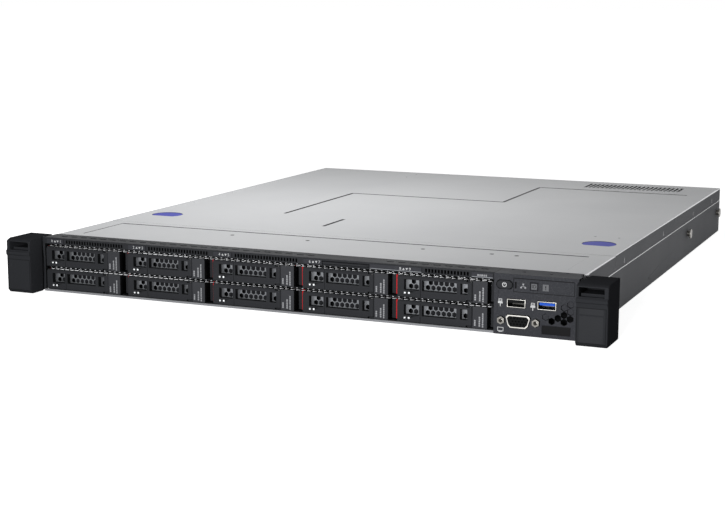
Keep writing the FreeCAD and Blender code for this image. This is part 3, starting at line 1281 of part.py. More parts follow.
def dsub(x):
    """Nine-way connector on its flange."""
    y = REAR_Y - SHEET
    flange = box(about(x, DSUB_WIDTH), (REAR_Y - PORT_DEPTH, y), (PORT_FLOOR, PORT_FLOOR + DSUB_HEIGHT))
    middle = PORT_FLOOR + DSUB_HEIGHT / 2
    tall, half, lean, depth = DSUB_SHELL
    outline = [(x - half, tall), (x + half, tall), (x + half - lean, -tall), (x - half + lean, -tall)]
    shell = prism([(px, y, middle + dz) for px, dz in outline], (0, depth, 0))
    jacks = [hexagon(x + s * JACK_SPACING / 2, middle, JACK_FLATS, (y, y + depth)) for s in (-1, 1)]
    return fused([flange, shell] + jacks)


def usb_stack():
    """Two USB sockets, one above the other, with the housing under and between them."""
    solids = []
    lower = PORT_FLOOR + USB_STACK_FOOT + USB_HEIGHT / 2
    for z in (lower, lower + USB_HEIGHT + USB_STACK_GAP):
        solids += usb_shell(USB_STACK_X, z, REAR_Y + PORT_PROUD, PORT_DEPTH, -1)
    foot_z = (PORT_FLOOR, lower - USB_HEIGHT / 2)
    bridge_z = (lower + USB_HEIGHT / 2, lower + USB_HEIGHT / 2 + USB_STACK_GAP)
    y = (REAR_Y - PORT_DEPTH, REAR_Y + PORT_PROUD / 2)
    return solids + [box(about(USB_STACK_X, USB_WIDTH), y, z) for z in (foot_z, bridge_z)]


def rear_ports():
    sockets = [solid for x in RJ_X for solid in rj_socket(x)]
    save("rear_ports", *sockets, *[dsub(x) for x in DSUB_X], *usb_stack())


def expansion_riser():
    """Riser card, its bracket and the two slot covers."""
    cover_y = (WALL_BACK - COVER_SHEET, WALL_BACK)
    windows = [slot_window(x) for x in SLOT_X]
    solids = [box(grown(x, SLOT_LAP), cover_y, grown(z, SLOT_LAP)) for x, z in windows]
    low, high = windows[0][1]
    card_x = SLOT_X[1] - RISER_OFFSET
    front, back = BOARD_Y[1] - RISER[0], BOARD_Y[1] - RISER[1]
    socket_top = BOARD_TOP + RISER_SOCKET
    card = box(about(card_x, BOARD), (front, back), (socket_top, high))
    socket = box(about(card_x, RISER_SOCKET), grown((front, back), -5.0), (BOARD_TOP, socket_top))
    shelf_z = (high + SLOT_LAP, high + SLOT_LAP + COVER_SHEET)
    shelf = box((windows[0][0][0], windows[-1][0][1]), (front - 5.0, cover_y[0]), shelf_z)
    save("expansion_riser", *solids, card, socket, shelf)


# ---- fasteners ----

def rail_stud(y):
    """Headed stud of the slide rail, right-hand side."""
    neck = rod(STUD_SHANK, (HALF, y, STUD_Z), (HALF + STUD_NECK, y, STUD_Z))
    head = rod(STUD_HEAD, (HALF + STUD_NECK, y, STUD_Z), (HALF + STUD_NECK + STUD_HEAD_THICK, y, STUD_Z))
    return fused([neck, head])


def screw(place, way):
    """Low screw head standing on a face."""
    end = tuple(p + SCREW_HEAD * w for p, w in zip(place, way))
    return rod(SCREW_RADIUS, place, end)


def fasteners():
    side = [rail_stud(y) for y in STUD_ROWS]
    side += [screw((HALF + BRACKET_THICK, y, z), (1, 0, 0))
             for y, z in ((12.0, 9.0), (30.0, 9.0), (30.0, 24.0))]
    board = [screw((x, y, BOARD_TOP), (0, 0, 1)) for x, y in standoff_places()]
    posts = [rod(STAND_RADIUS, (x, y, SHEET), (x, y, BOARD_Z)) for x, y in standoff_places()]
    save("fasteners", *side, *[mirrored(s) for s in side], *board, *posts)


def main():
    os.makedirs("parts", exist_ok=True)
    chassis()
    front_cover_plate()
    top_cover()
    touch_points()
    drive_cage()
    drive_bays()
    drive_backplane()
    front_bezel()
    info_tab()
    io_panel()
    power_button()
    id_button()
    front_ports()
    front_io_board()
    rack_ears()
    fans()
    system_board()
    heat_sink()
    memory_modules()
    air_baffle()
    power_supply()
    rear_ports()
    expansion_riser()
    fasteners()


main()
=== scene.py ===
"""Looks of a one-unit rack server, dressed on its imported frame.  Metres, +Z up, the front faces -Y."""

import json
import logging
import math
from contextlib import contextmanager
from dataclasses import dataclass
from enum import Enum
from typing import Callable, Iterator, Sequence

import bpy
from mathutils import Matrix, Vector

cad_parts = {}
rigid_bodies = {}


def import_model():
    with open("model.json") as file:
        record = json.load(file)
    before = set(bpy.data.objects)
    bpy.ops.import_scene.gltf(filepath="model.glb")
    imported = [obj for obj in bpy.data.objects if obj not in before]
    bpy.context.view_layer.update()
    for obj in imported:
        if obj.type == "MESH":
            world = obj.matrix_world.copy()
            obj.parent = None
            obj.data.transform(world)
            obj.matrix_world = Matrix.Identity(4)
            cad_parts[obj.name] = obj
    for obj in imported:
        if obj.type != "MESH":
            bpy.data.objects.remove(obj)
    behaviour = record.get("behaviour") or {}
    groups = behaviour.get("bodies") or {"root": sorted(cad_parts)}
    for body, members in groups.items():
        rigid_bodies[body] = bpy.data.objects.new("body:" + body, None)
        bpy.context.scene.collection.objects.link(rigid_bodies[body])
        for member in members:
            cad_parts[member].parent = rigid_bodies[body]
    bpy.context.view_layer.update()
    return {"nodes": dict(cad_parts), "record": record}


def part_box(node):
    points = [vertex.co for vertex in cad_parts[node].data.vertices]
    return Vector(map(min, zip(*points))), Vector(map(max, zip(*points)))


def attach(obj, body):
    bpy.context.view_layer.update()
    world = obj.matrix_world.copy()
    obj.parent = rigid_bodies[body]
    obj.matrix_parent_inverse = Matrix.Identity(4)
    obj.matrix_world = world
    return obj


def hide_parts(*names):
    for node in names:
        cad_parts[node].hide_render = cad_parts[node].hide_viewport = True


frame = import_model()

logging.basicConfig(level=logging.INFO, format="%(message)s")
log = logging.getLogger("rack_server")

MM = 0.001
INK = 0.03                 # printed marks stand this proud, in millimetres
EDGE = 0.12                # usual width of a broken edge, in millimetres
WELD = 0.002               # corners nearer than this, in millimetres, are one
NEAR = 0.05                # places nearer than this, in millimetres, are the same for a choice of faces
ENDLESS = 1e6              # a size or place without a limit, in millimetres
SMOOTH_TURN = math.radians(38)

# Shares of a face's normal along an axis: it looks that way, lies flat, is a flange, is turned there, leans.
ALONG, FLAT, FLANGE, TURNED, LEANS = 0.9, 0.99, 0.97, 0.5, 0.1

Point = tuple[float, float, float]
Span = tuple[float, float]
Patch = tuple[float, float, float, float]    # middle and size of a rectangle on a face
Chooser = Callable[[Vector, Vector], bool]


class Side(Enum):
    """Side of the case, by the sign of its X."""

    LEFT = -1
    RIGHT = 1


class Facing(Enum):
    """Way that a marked face looks."""

    FRONT = "front"
    REAR = "rear"
    TOP = "top"

    def seat(self, x: float, face: float, line: float) -> Matrix:
        """Turns and moves a mark that was drawn looking up.

        Args:
            x: Place along X in millimetres.
            face: The face's own place along its axis.
            line: Height on an upright face, or place along Y on top.

        Returns:
            The mark's placement.
        """
        if self is Facing.TOP:
            return Matrix.Translation(Vector((x, line, face)) * MM)
        turn = Matrix.Rotation(math.pi / 2, 4, "X")
        if self is Facing.REAR:
            turn = Matrix.Rotation(math.pi, 4, "Z") @ turn
        return Matrix.Translation(Vector((x, face, line)) * MM) @ turn


BODY_OF = {node: body for body, nodes in frame["record"]["behaviour"]["bodies"].items() for node in nodes}


def linear_colour(code: str) -> tuple[float, float, float, float]:
    """Turns an sRGB hex code into the linear colour that shaders take.

    Args:
        code: Six hex digits with a leading hash.

    Returns:
        Linear red, green, blue and an alpha of one.
    """
    parts = [int(code[k:k + 2], 16) / 255 for k in (1, 3, 5)]
    red, green, blue = [p / 12.92 if p <= 0.04045 else ((p + 0.055) / 1.055) ** 2.4 for p in parts]
    return red, green, blue, 1.0


def add_node(tree: bpy.types.NodeTree, kind: str, settings: dict | None = None,
             links: dict | None = None) -> bpy.types.Node:
    """Adds one shader node.

    Args:
        tree: Node tree of the material.
        kind: Node type without its ShaderNode prefix.
        settings: Values by property name or by input socket.
        links: Output sockets by the input socket that they feed.

    Returns:
        The new node.
    """
    node = tree.nodes.new("ShaderNode" + kind)
    for key, value in (settings or {}).items():
        if isinstance(key, str) and hasattr(node, key):
            setattr(node, key, value)
        else:
            node.inputs[key].default_value = value
    for key, source in (links or {}).items():
        tree.links.new(source, node.inputs[key])
    return node


# ---- finishes ----

@dataclass(frozen=True)
class Finish:
    """A surface finish: base colour, gloss, and the grain of the process that made it.

    Attributes:
        name: Trade-neutral name of the material and process.
        colour: sRGB hex of the clean surface.
        shade: sRGB hex that the mottling runs towards.
        metallic: Share of bare metal.
        roughness: Mean roughness.
        spread: How far roughness wanders over the surface.
        grain_mm: Size of the fine grain.
        grain_depth: Strength of the fine grain's bump.
        cloud_mm: Size of the broad colour clouds.
        stretch: Grain length along X, Y and Z against its width, for rolled or brushed metal.
        coat: Weight of a clear gloss coat.
        gleam: Specular level; coarse moulded faces swallow part of their gloss.
        ior: Index of refraction of a plastic, paint or ink.
        fleck: Brightness of the light specks of a coarse moulded face.
        glow: Strength of emitted light; on the unlit lenses it is a painted glow.
    """

    name: str
    colour: str
    shade: str
    metallic: float = 0.0
    roughness: float = 0.5
    spread: float = 0.06
    grain_mm: float = 0.9
    grain_depth: float = 0.05
    cloud_mm: float = 60.0
    stretch: Point = (1.0, 1.0, 1.0)
    coat: float = 0.0
    gleam: float = 0.5
    ior: float = 1.5
    fleck: float = 0.0
    glow: float = 0.0

    def build(self) -> bpy.types.Material:
        """Makes the node material, once.

        Returns:
            The material.
        """
        found = bpy.data.materials.get(self.name)
        if found:
            return found
        material = bpy.data.materials.new(self.name)
        material.use_nodes = True
        tree = material.node_tree
        tree.nodes.clear()
        place = add_node(tree, "TexCoord").outputs["Object"]
        grain_place = add_node(tree, "Mapping", {"Scale": tuple(1 / s for s in self.stretch)},
                               {"Vector": place})
        clouds = add_node(tree, "TexNoise", {"Scale": 1 / (self.cloud_mm * MM), "Detail": 4.0,
                                             "Roughness": 0.55}, {"Vector": place})
        grain = add_node(tree, "TexNoise", {"Scale": 1 / (self.grain_mm * MM), "Detail": 3.0,
                                            "Roughness": 0.6}, {"Vector": grain_place.outputs["Vector"]})
        colour = add_node(tree, "Mix", {"data_type": "RGBA", "clamp_factor": True,
                                        6: linear_colour(self.colour), 7: linear_colour(self.shade)},
                          {0: clouds.outputs["Fac"]}).outputs[2]
        if self.fleck:
            spots = add_node(tree, "MapRange", {"From Min": 0.52, "From Max": 0.72, "To Max": self.fleck},
                             {"Value": grain.outputs["Fac"]})
            colour = add_node(tree, "Mix", {"data_type": "RGBA", 7: (1.0, 1.0, 1.0, 1.0)},
                              {0: spots.outputs["Result"], 6: colour}).outputs[2]
        rough = add_node(tree, "MapRange", {"From Min": 0.3, "From Max": 0.7,
                                            "To Min": max(self.roughness - self.spread, 0.02),
                                            "To Max": min(self.roughness + self.spread, 1.0)},
                         {"Value": clouds.outputs["Fac"]})
        bump = add_node(tree, "Bump", {"Strength": self.grain_depth, "Distance": self.grain_mm * MM},
                        {"Height": grain.outputs["Fac"]})
        shader = add_node(tree, "BsdfPrincipled", {"Metallic": self.metallic, "Coat Weight": self.coat},
                          {"Base Color": colour, "Roughness": rough.outputs["Result"],
                           "Normal": bump.outputs["Normal"]})
        shader.inputs["Specular IOR Level"].default_value = self.gleam
        if not self.metallic:
            shader.inputs["IOR"].default_value = self.ior
        if self.glow:
            shader.inputs["Emission Color"].default_value = linear_colour(self.colour)
            shader.inputs["Emission Strength"].default_value = self.glow
        add_node(tree, "OutputMaterial", None, {"Surface": shader.outputs["BSDF"]})
        return material


# Zinc-coated steel sheet with a clear satin passivation: cool light grey, soft broad highlights.
COVER_STEEL = Finish("satin_zinc_coated_steel", "#C4C5C6", "#B9BABC", metallic=0.12, roughness=0.44,
                     spread=0.04, grain_mm=1.2, grain_depth=0.012, cloud_mm=140.0, gleam=0.05)
# Painted shade: the same sheet, near black, on the sunk walls and floors of pressed beads and panels and on the
# front plate's front edge.
BEAD_SHADE_STEEL = Finish("press_drawn_zinc_coated_steel", "#232426", "#1E1F21", metallic=0.15, roughness=0.4,
                     grain_mm=0.8, grain_depth=0.02, gleam=0.05)
# Same sheet for the pan and the cover's side flanges, darker and rougher: painted shade for the sides away from
# the light.
SIDE_SHADE_STEEL = Finish("plain_zinc_coated_steel", "#88898C", "#7B7C7F", metallic=0.1, roughness=0.46, spread=0.05,
                   grain_mm=1.4, grain_depth=0.02, cloud_mm=90.0, gleam=0.0)
# Painted highlight: a bright band on the ledge's edge, on the cover's bends and on the sliding cover's front
# edge.
EDGE_HIGHLIGHT_STEEL = Finish("roll_burnished_zinc", "#D2D3D5", "#C6C7C9", metallic=0.8, roughness=0.3, grain_mm=0.8,
                     grain_depth=0.01)
# Electro-zinc plated sheet inside the case: brighter, with faint flow marks.
INNER_STEEL = Finish("electro_zinc_plated_steel", "#B2B4B6", "#A3A5A8", metallic=0.85, roughness=0.38,
                     grain_mm=1.2, grain_depth=0.02, cloud_mm=40.0)
# Injection-moulded ABS from a fine spark-eroded tool: near black, a dull soft sheen. Also painted shade on the
# drive's front end.
BLACK_ABS_AND_SHADE = Finish("fine_textured_black_abs", "#2D2E31", "#262729", roughness=0.52, grain_mm=0.8,
                   grain_depth=0.08, gleam=0.05)
# Black glass-filled nylon of the ears: the same black, tougher and fully dull.
EAR_NYLON = Finish("glass_filled_black_nylon", "#2D2E31", "#262729", roughness=0.5, grain_mm=0.9,
                   grain_depth=0.08, gleam=0.0)
# Black powder coat on the brackets: fine orange peel. Also painted shade lines on the ears' fronts.
BLACK_POWDER_AND_SHADE = Finish("black_powder_coated_steel", "#18191B", "#131416", roughness=0.55, grain_mm=1.6,
                      grain_depth=0.12, gleam=0.05)
# Black zinc plating of the drive cage: dark, with a little metal in its sheen.
BLACK_ZINC = Finish("black_zinc_plated_steel", "#141517", "#0F1012", metallic=0.2, roughness=0.5,
                    grain_mm=1.0, grain_depth=0.03, gleam=0.1)
# Coarse spark-eroded moulding of the operator panel: dark grey with a fine bright speckle.
PANEL_ABS = Finish("coarse_textured_grey_abs", "#333438", "#2D2E32", roughness=0.55, grain_mm=0.7,
                   grain_depth=0.12, fleck=0.02, cloud_mm=30.0, gleam=0.05)
# Polyoxymethylene catch, through-coloured signal red, slightly waxy.
RED_POM = Finish("red_acetal", "#B80F16", "#A20C12", roughness=0.45, grain_depth=0.02, gleam=0.2)
# Polycarbonate touch plates, through-coloured blue-violet, dull moulded face.
BLUE_PC = Finish("blue_polycarbonate", "#3B41A4", "#343A96", roughness=0.5, grain_depth=0.04, gleam=0.1)
# Blue nylon tongue of a fast socket.
BLUE_NYLON = Finish("blue_nylon", "#0F4FBE", "#0D46AA", roughness=0.45, grain_depth=0.03, gleam=0.2)
# Spring stainless strip, bright rolled: nearly mirror, drawn along its length.
SPRING_STEEL = Finish("bright_spring_stainless", "#DCDDDF", "#CFD0D3", metallic=1.0, roughness=0.24,
                      spread=0.05, grain_mm=0.6, grain_depth=0.02, stretch=(6.0, 1.0, 1.0))
# Zinc-plated perforated sheet behind the handles.
SCREEN_STEEL = Finish("zinc_plated_perforated_steel", "#74767A", "#696B6E", metallic=0.7, roughness=0.38,
                      grain_mm=0.8, grain_depth=0.03)
# Nickel-plated stamped shells of sockets: warm bright metal.
NICKEL = Finish("bright_nickel_plate", "#D3D1CC", "#C4C2BD", metallic=1.0, roughness=0.22, grain_depth=0.01)
# Turned brass screws under the same plate: a darker nickel with small mottled patches.
DULL_NICKEL = Finish("dull_nickel_plate", "#84827E", "#6C6A66", metallic=1.0, roughness=0.34, grain_mm=0.5,
                     grain_depth=0.05, cloud_mm=2.0)
# Hard gold flash on contacts.
GOLD = Finish("gold_flashed_contacts", "#D8B25A", "#C9A24C", metallic=1.0, roughness=0.25, grain_depth=0.01)
# Anodised drive bodies and plain aluminium fins.
ALUMINIUM = Finish("mill_finish_aluminium", "#C6C8CB", "#B8BABD", metallic=1.0, roughness=0.34, grain_mm=0.7,
                   grain_depth=0.03, stretch=(1.0, 8.0, 1.0))
# Glass-epoxy board under green solder resist: glossy, deep green.
GREEN_BOARD = Finish("green_solder_resist", "#12512F", "#0D4226", roughness=0.3, coat=0.3, grain_mm=1.6,
                     grain_depth=0.06, cloud_mm=8.0)
# The same board under black resist.
BLACK_BOARD = Finish("black_solder_resist", "#0C0D0E", "#090A0B", roughness=0.4, grain_mm=1.6,
                     grain_depth=0.05, gleam=0.05)
# Transfer-moulded epoxy of chips and cores: flat black. The same black is painted shade in holes, slots,
# openings, shells and between parts.
BLACK_EPOXY_AND_SHADE = Finish("black_moulding_epoxy", "#131415", "#0E0F10", roughness=0.6, grain_mm=0.5,
                    grain_depth=0.05, gleam=0.05)
# Smoked polycarbonate window over an unlit sign.
SMOKED_PC = Finish("smoked_polycarbonate", "#5A5B5E", "#545558", roughness=0.4, grain_mm=0.5,
                   grain_depth=0.02, gleam=0.2)
# The label end of a carrier: the same plastic from a coarser tool.
LABEL_ABS = Finish("coarse_textured_black_abs", "#393A3D", "#323336", roughness=0.55, grain_mm=0.8,
                   grain_depth=0.1, gleam=0.05)
# Pad-printed epoxy inks: thin, dull, almost without grain.
WHITE_INK = Finish("white_pad_print", "#B4B5B6", "#ABACAD", roughness=0.55, grain_mm=0.4, grain_depth=0.02)
GREY_INK = Finish("grey_pad_print", "#8A8B8E", "#808184", roughness=0.55, grain_mm=0.4, grain_depth=0.02)
# Polished black plate of a blank badge.
GLOSS_BLACK = Finish("polished_black_plate", "#0B0B0D", "#08080A", roughness=0.3, grain_depth=0.01, gleam=0.1)
# Milky lens over an unlit indicator lamp; its emission is a painted glow.
LENS_WITH_PAINTED_GLOW = Finish("milky_polycarbonate_lens", "#E4E7E8", "#D8DBDD", roughness=0.28, grain_depth=0.01,
                   glow=0.25)


# ---- mesh tools ----

@dataclass(frozen=True)
class Sort:
    """A kind of solid within a node, told by its size and place in millimetres.

    Attributes:
        finish: Finish that such a solid gets.
        least: Smallest size along X, Y and Z.
        most: Largest size.
        after: Its lowest corner lies past this place.
        before: Its lowest corner lies ahead of this place.
    """

    finish: Finish
    least: Point = (0.0, 0.0, 0.0)
    most: Point = (ENDLESS, ENDLESS, ENDLESS)
    after: Point = (-ENDLESS, -ENDLESS, -ENDLESS)
    before: Point = (ENDLESS, ENDLESS, ENDLESS)

    def fits(self, low: Vector, high: Vector) -> bool:
        """Says whether a solid between two corners is of this kind."""
        return all(self.least[k] <= high[k] - low[k] <= self.most[k] and self.after[k] < low[k] < self.before[k]
                   for k in range(3))


def pick(piece: bpy.types.Object) -> None:
    """Selects one object alone and makes it active.

    Args:
        piece: Object to select.
    """
    bpy.ops.object.select_all(action="DESELECT")
    piece.select_set(True)
    bpy.context.view_layer.objects.active = piece


@contextmanager
def editing(piece: bpy.types.Object, mode: str = "EDGE") -> Iterator[None]:
    """Holds one object in edit mode.

    Args:
        piece: Object to edit.
        mode: What is selected, VERT, EDGE or FACE.
    """
    pick(piece)
    bpy.context.tool_settings.mesh_select_mode = [mode == kind for kind in ("VERT", "EDGE", "FACE")]
    bpy.ops.object.mode_set(mode="EDIT")
    yield
    bpy.ops.object.mode_set(mode="OBJECT")


def solid_runs(mesh: bpy.types.Mesh) -> list[range]:
    """Finds the closed solids of a node's loose triangles.

    Args:
        mesh: Mesh whose triangles come solid by solid.

    Returns:
        The run of polygon numbers of each solid.
    """
    points = [tuple(round(c, 6) for c in v.co) for v in mesh.vertices]
    runs: list[range] = []
    unpaired: set[tuple[Point, Point]] = set()
    start = 0
    for polygon in mesh.polygons:
        ring = [points[i] for i in polygon.vertices]
        for edge in zip(ring, ring[1:] + ring[:1]):
            if edge[::-1] in unpaired:
                unpaired.discard(edge[::-1])
            else:
                unpaired.add(edge)
        if not unpaired:
            runs.append(range(start, polygon.index + 1))
            start = polygon.index + 1
    return runs


def corners_of(points: Sequence[Vector]) -> tuple[Vector, Vector]:
    """Finds the box round some points.

    Args:
        points: Places of the points.

    Returns:
        The box's lowest and highest corner.
    """
    low = Vector([min(p[axis] for p in points) for axis in range(3)])
    high = Vector([max(p[axis] for p in points) for axis in range(3)])
    return low, high


def node_box(node: str) -> tuple[Vector, Vector]:
    """Lowest and highest corner of a frame node, in millimetres."""
    low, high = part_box(node)
    return Vector(low) / MM, Vector(high) / MM


def keep(piece: bpy.types.Object, node: str) -> bpy.types.Object:
    """Lets a piece stand for a node: puts it on the node's body and hides the node.

    Args:
        piece: Dressed piece.
        node: Frame node that it stands for.

    Returns:
        The piece.
    """
    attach(piece, BODY_OF[node])
    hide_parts(node)
    return piece


def copied(node: str, finishes: Sequence[Finish], sorts: Sequence[Sort] = ()) -> bpy.types.Object:
    """Copies a node's mesh as one welded piece with a finish for each of its solids.

    Args:
        node: Frame node.
        finishes: Finishes in the order of their material slots; the first is the usual one.
        sorts: Kinds of solids with a finish of their own; the first that fits a solid counts.

    Returns:
        The new piece, not yet on its body.
    """
    mesh = frame["nodes"][node].data.copy()
    mesh.name = "dressed_" + node
    mesh.materials.clear()
    for finish in finishes:
        mesh.materials.append(finish.build())
    for polygon in mesh.polygons:
        polygon.material_index = 0
    for run in solid_runs(mesh) if sorts else ():
        low, high = corners_of([mesh.vertices[i].co / MM for k in run for i in mesh.polygons[k].vertices])
        chosen = next((sort.finish for sort in sorts if sort.fits(low, high)), finishes[0])
        for number in run:
            mesh.polygons[number].material_index = finishes.index(chosen)
    piece = bpy.data.objects.new("dressed_" + node, mesh)
    bpy.context.scene.collection.objects.link(piece)
    with editing(piece, "VERT"):
        bpy.ops.mesh.select_all(action="SELECT")
        bpy.ops.mesh.remove_doubles(threshold=WELD * MM)
    return piece


def recoat(piece: bpy.types.Object, finish_of: Callable[[Vector, Vector, str], Finish | None]) -> None:
    """Gives some faces of a piece another of its finishes.

    Args:
        piece: Piece to change.
        finish_of: New finish of a face, or none to leave it, from its middle in millimetres, its normal
            and the name of the finish that it has.
    """
    slots = [material.name for material in piece.data.materials]
    for polygon in piece.data.polygons:
        finish = finish_of(Vector(polygon.center) / MM, polygon.normal, slots[polygon.material_index])
        if finish:
            polygon.material_index = slots.index(finish.name)


def pick_sharp(piece: bpy.types.Object) -> None:
    """Selects a piece's sharp edges and nothing else.

    Args:
        piece: Object whose edges are selected.
    """
    with editing(piece):
        bpy.ops.mesh.select_all(action="DESELECT")
        bpy.ops.mesh.edges_select_sharp(sharpness=SMOOTH_TURN)
    for group in (piece.data.vertices, piece.data.polygons):
        group.foreach_set("select", [False] * len(group))


def round_edges(piece: bpy.types.Object, size_mm: float, chosen: Chooser, segments: int = 3) -> None:
    """Rounds chosen sharp edges.

    Args:
        piece: Object to change.
        size_mm: Width of the rounding.
        chosen: Says from its two ends, in millimetres, whether an edge is rounded.
        segments: Facets of the rounding.
    """
    mesh = piece.data
    pick_sharp(piece)
    for edge in mesh.edges:
        edge.select = edge.select and chosen(*[mesh.vertices[i].co / MM for i in edge.vertices])
    with editing(piece):
        bpy.ops.mesh.bevel(offset=size_mm * MM, segments=segments, affect="EDGES", clamp_overlap=True)


def polish(piece: bpy.types.Object, edge_mm: float = EDGE, bare: Finish | None = None) -> bpy.types.Object:
    """Breaks sharp edges and smooths the shading between them.

    Args:
        piece: Object to finish.
        edge_mm: Width of the broken edges.
        bare: Finish of thin punched sheets, whose edges stay as cut.

    Returns:
        The same object.
    """
    mesh = piece.data
    pick_sharp(piece)
    as_cut = mesh.materials.find(bare.name) if bare else -1
    for polygon in mesh.polygons:
        if polygon.material_index == as_cut:
            for corner in polygon.loop_indices:
                mesh.edges[mesh.loops[corner].edge_index].select = False
    low, high = corners_of([v.co for v in mesh.vertices])
    with editing(piece):
        bpy.ops.mesh.bevel(offset=edge_mm * MM, segments=1, affect="EDGES")
    for vertex in mesh.vertices:    # a mitre at a shallow corner may reach past the piece's own limits
        vertex.co = [min(max(c, a), b) for c, a, b in zip(vertex.co, low, high)]
    pick(piece)
    bpy.ops.object.shade_smooth_by_angle(angle=SMOOTH_TURN)
    even = piece.modifiers.new("even_faces", "WEIGHTED_NORMAL")
    even.keep_sharp = True
    bpy.ops.object.modifier_apply(modifier=even.name)
    return piece


def dressed(node: str, finish: Finish, edge_mm: float = EDGE) -> bpy.types.Object:
    """Copies a node of one material, breaks its edges and puts it in its place."""
    return keep(polish(copied(node, [finish]), edge_mm), node)


def stamped(piece: bpy.types.Object, model: str, node: str) -> bpy.types.Object:
    """Repeats a finished piece of one bay in another.

    Args:
        piece: Finished piece of the model bay.
        model: Node that gives the model's place.
        node: Like node of the other bay.

    Returns:
        The copy, with its own mesh, not yet on its body.
    """
    shift = Vector(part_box(node)[0]) - Vector(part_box(model)[0])
    twin = piece.copy()
    twin.data = piece.data.copy()
    twin.data.transform(Matrix.Translation(shift))
    twin.name = piece.name + "_at_" + node
    bpy.context.scene.collection.objects.link(twin)
    return twin


def plain(finish: Finish, *nodes: str) -> None:
    """Gives nodes that keep their own mesh a finish."""
    for node in nodes:
        frame["nodes"][node].material_slots[0].material = finish.build()


def joined(parts: Sequence[bpy.types.Object], name: str) -> bpy.types.Object:
    """Joins objects into the first of them and names it.

    Args:
        parts: Objects to join.
        name: Name of the whole.

    Returns:
        The whole.
    """
    pick(parts[0])
    for part in parts:
        part.select_set(True)
    if len(parts) > 1:
        bpy.ops.object.join()
    parts[0].name = name
    parts[0].data.name = name
    return parts[0]


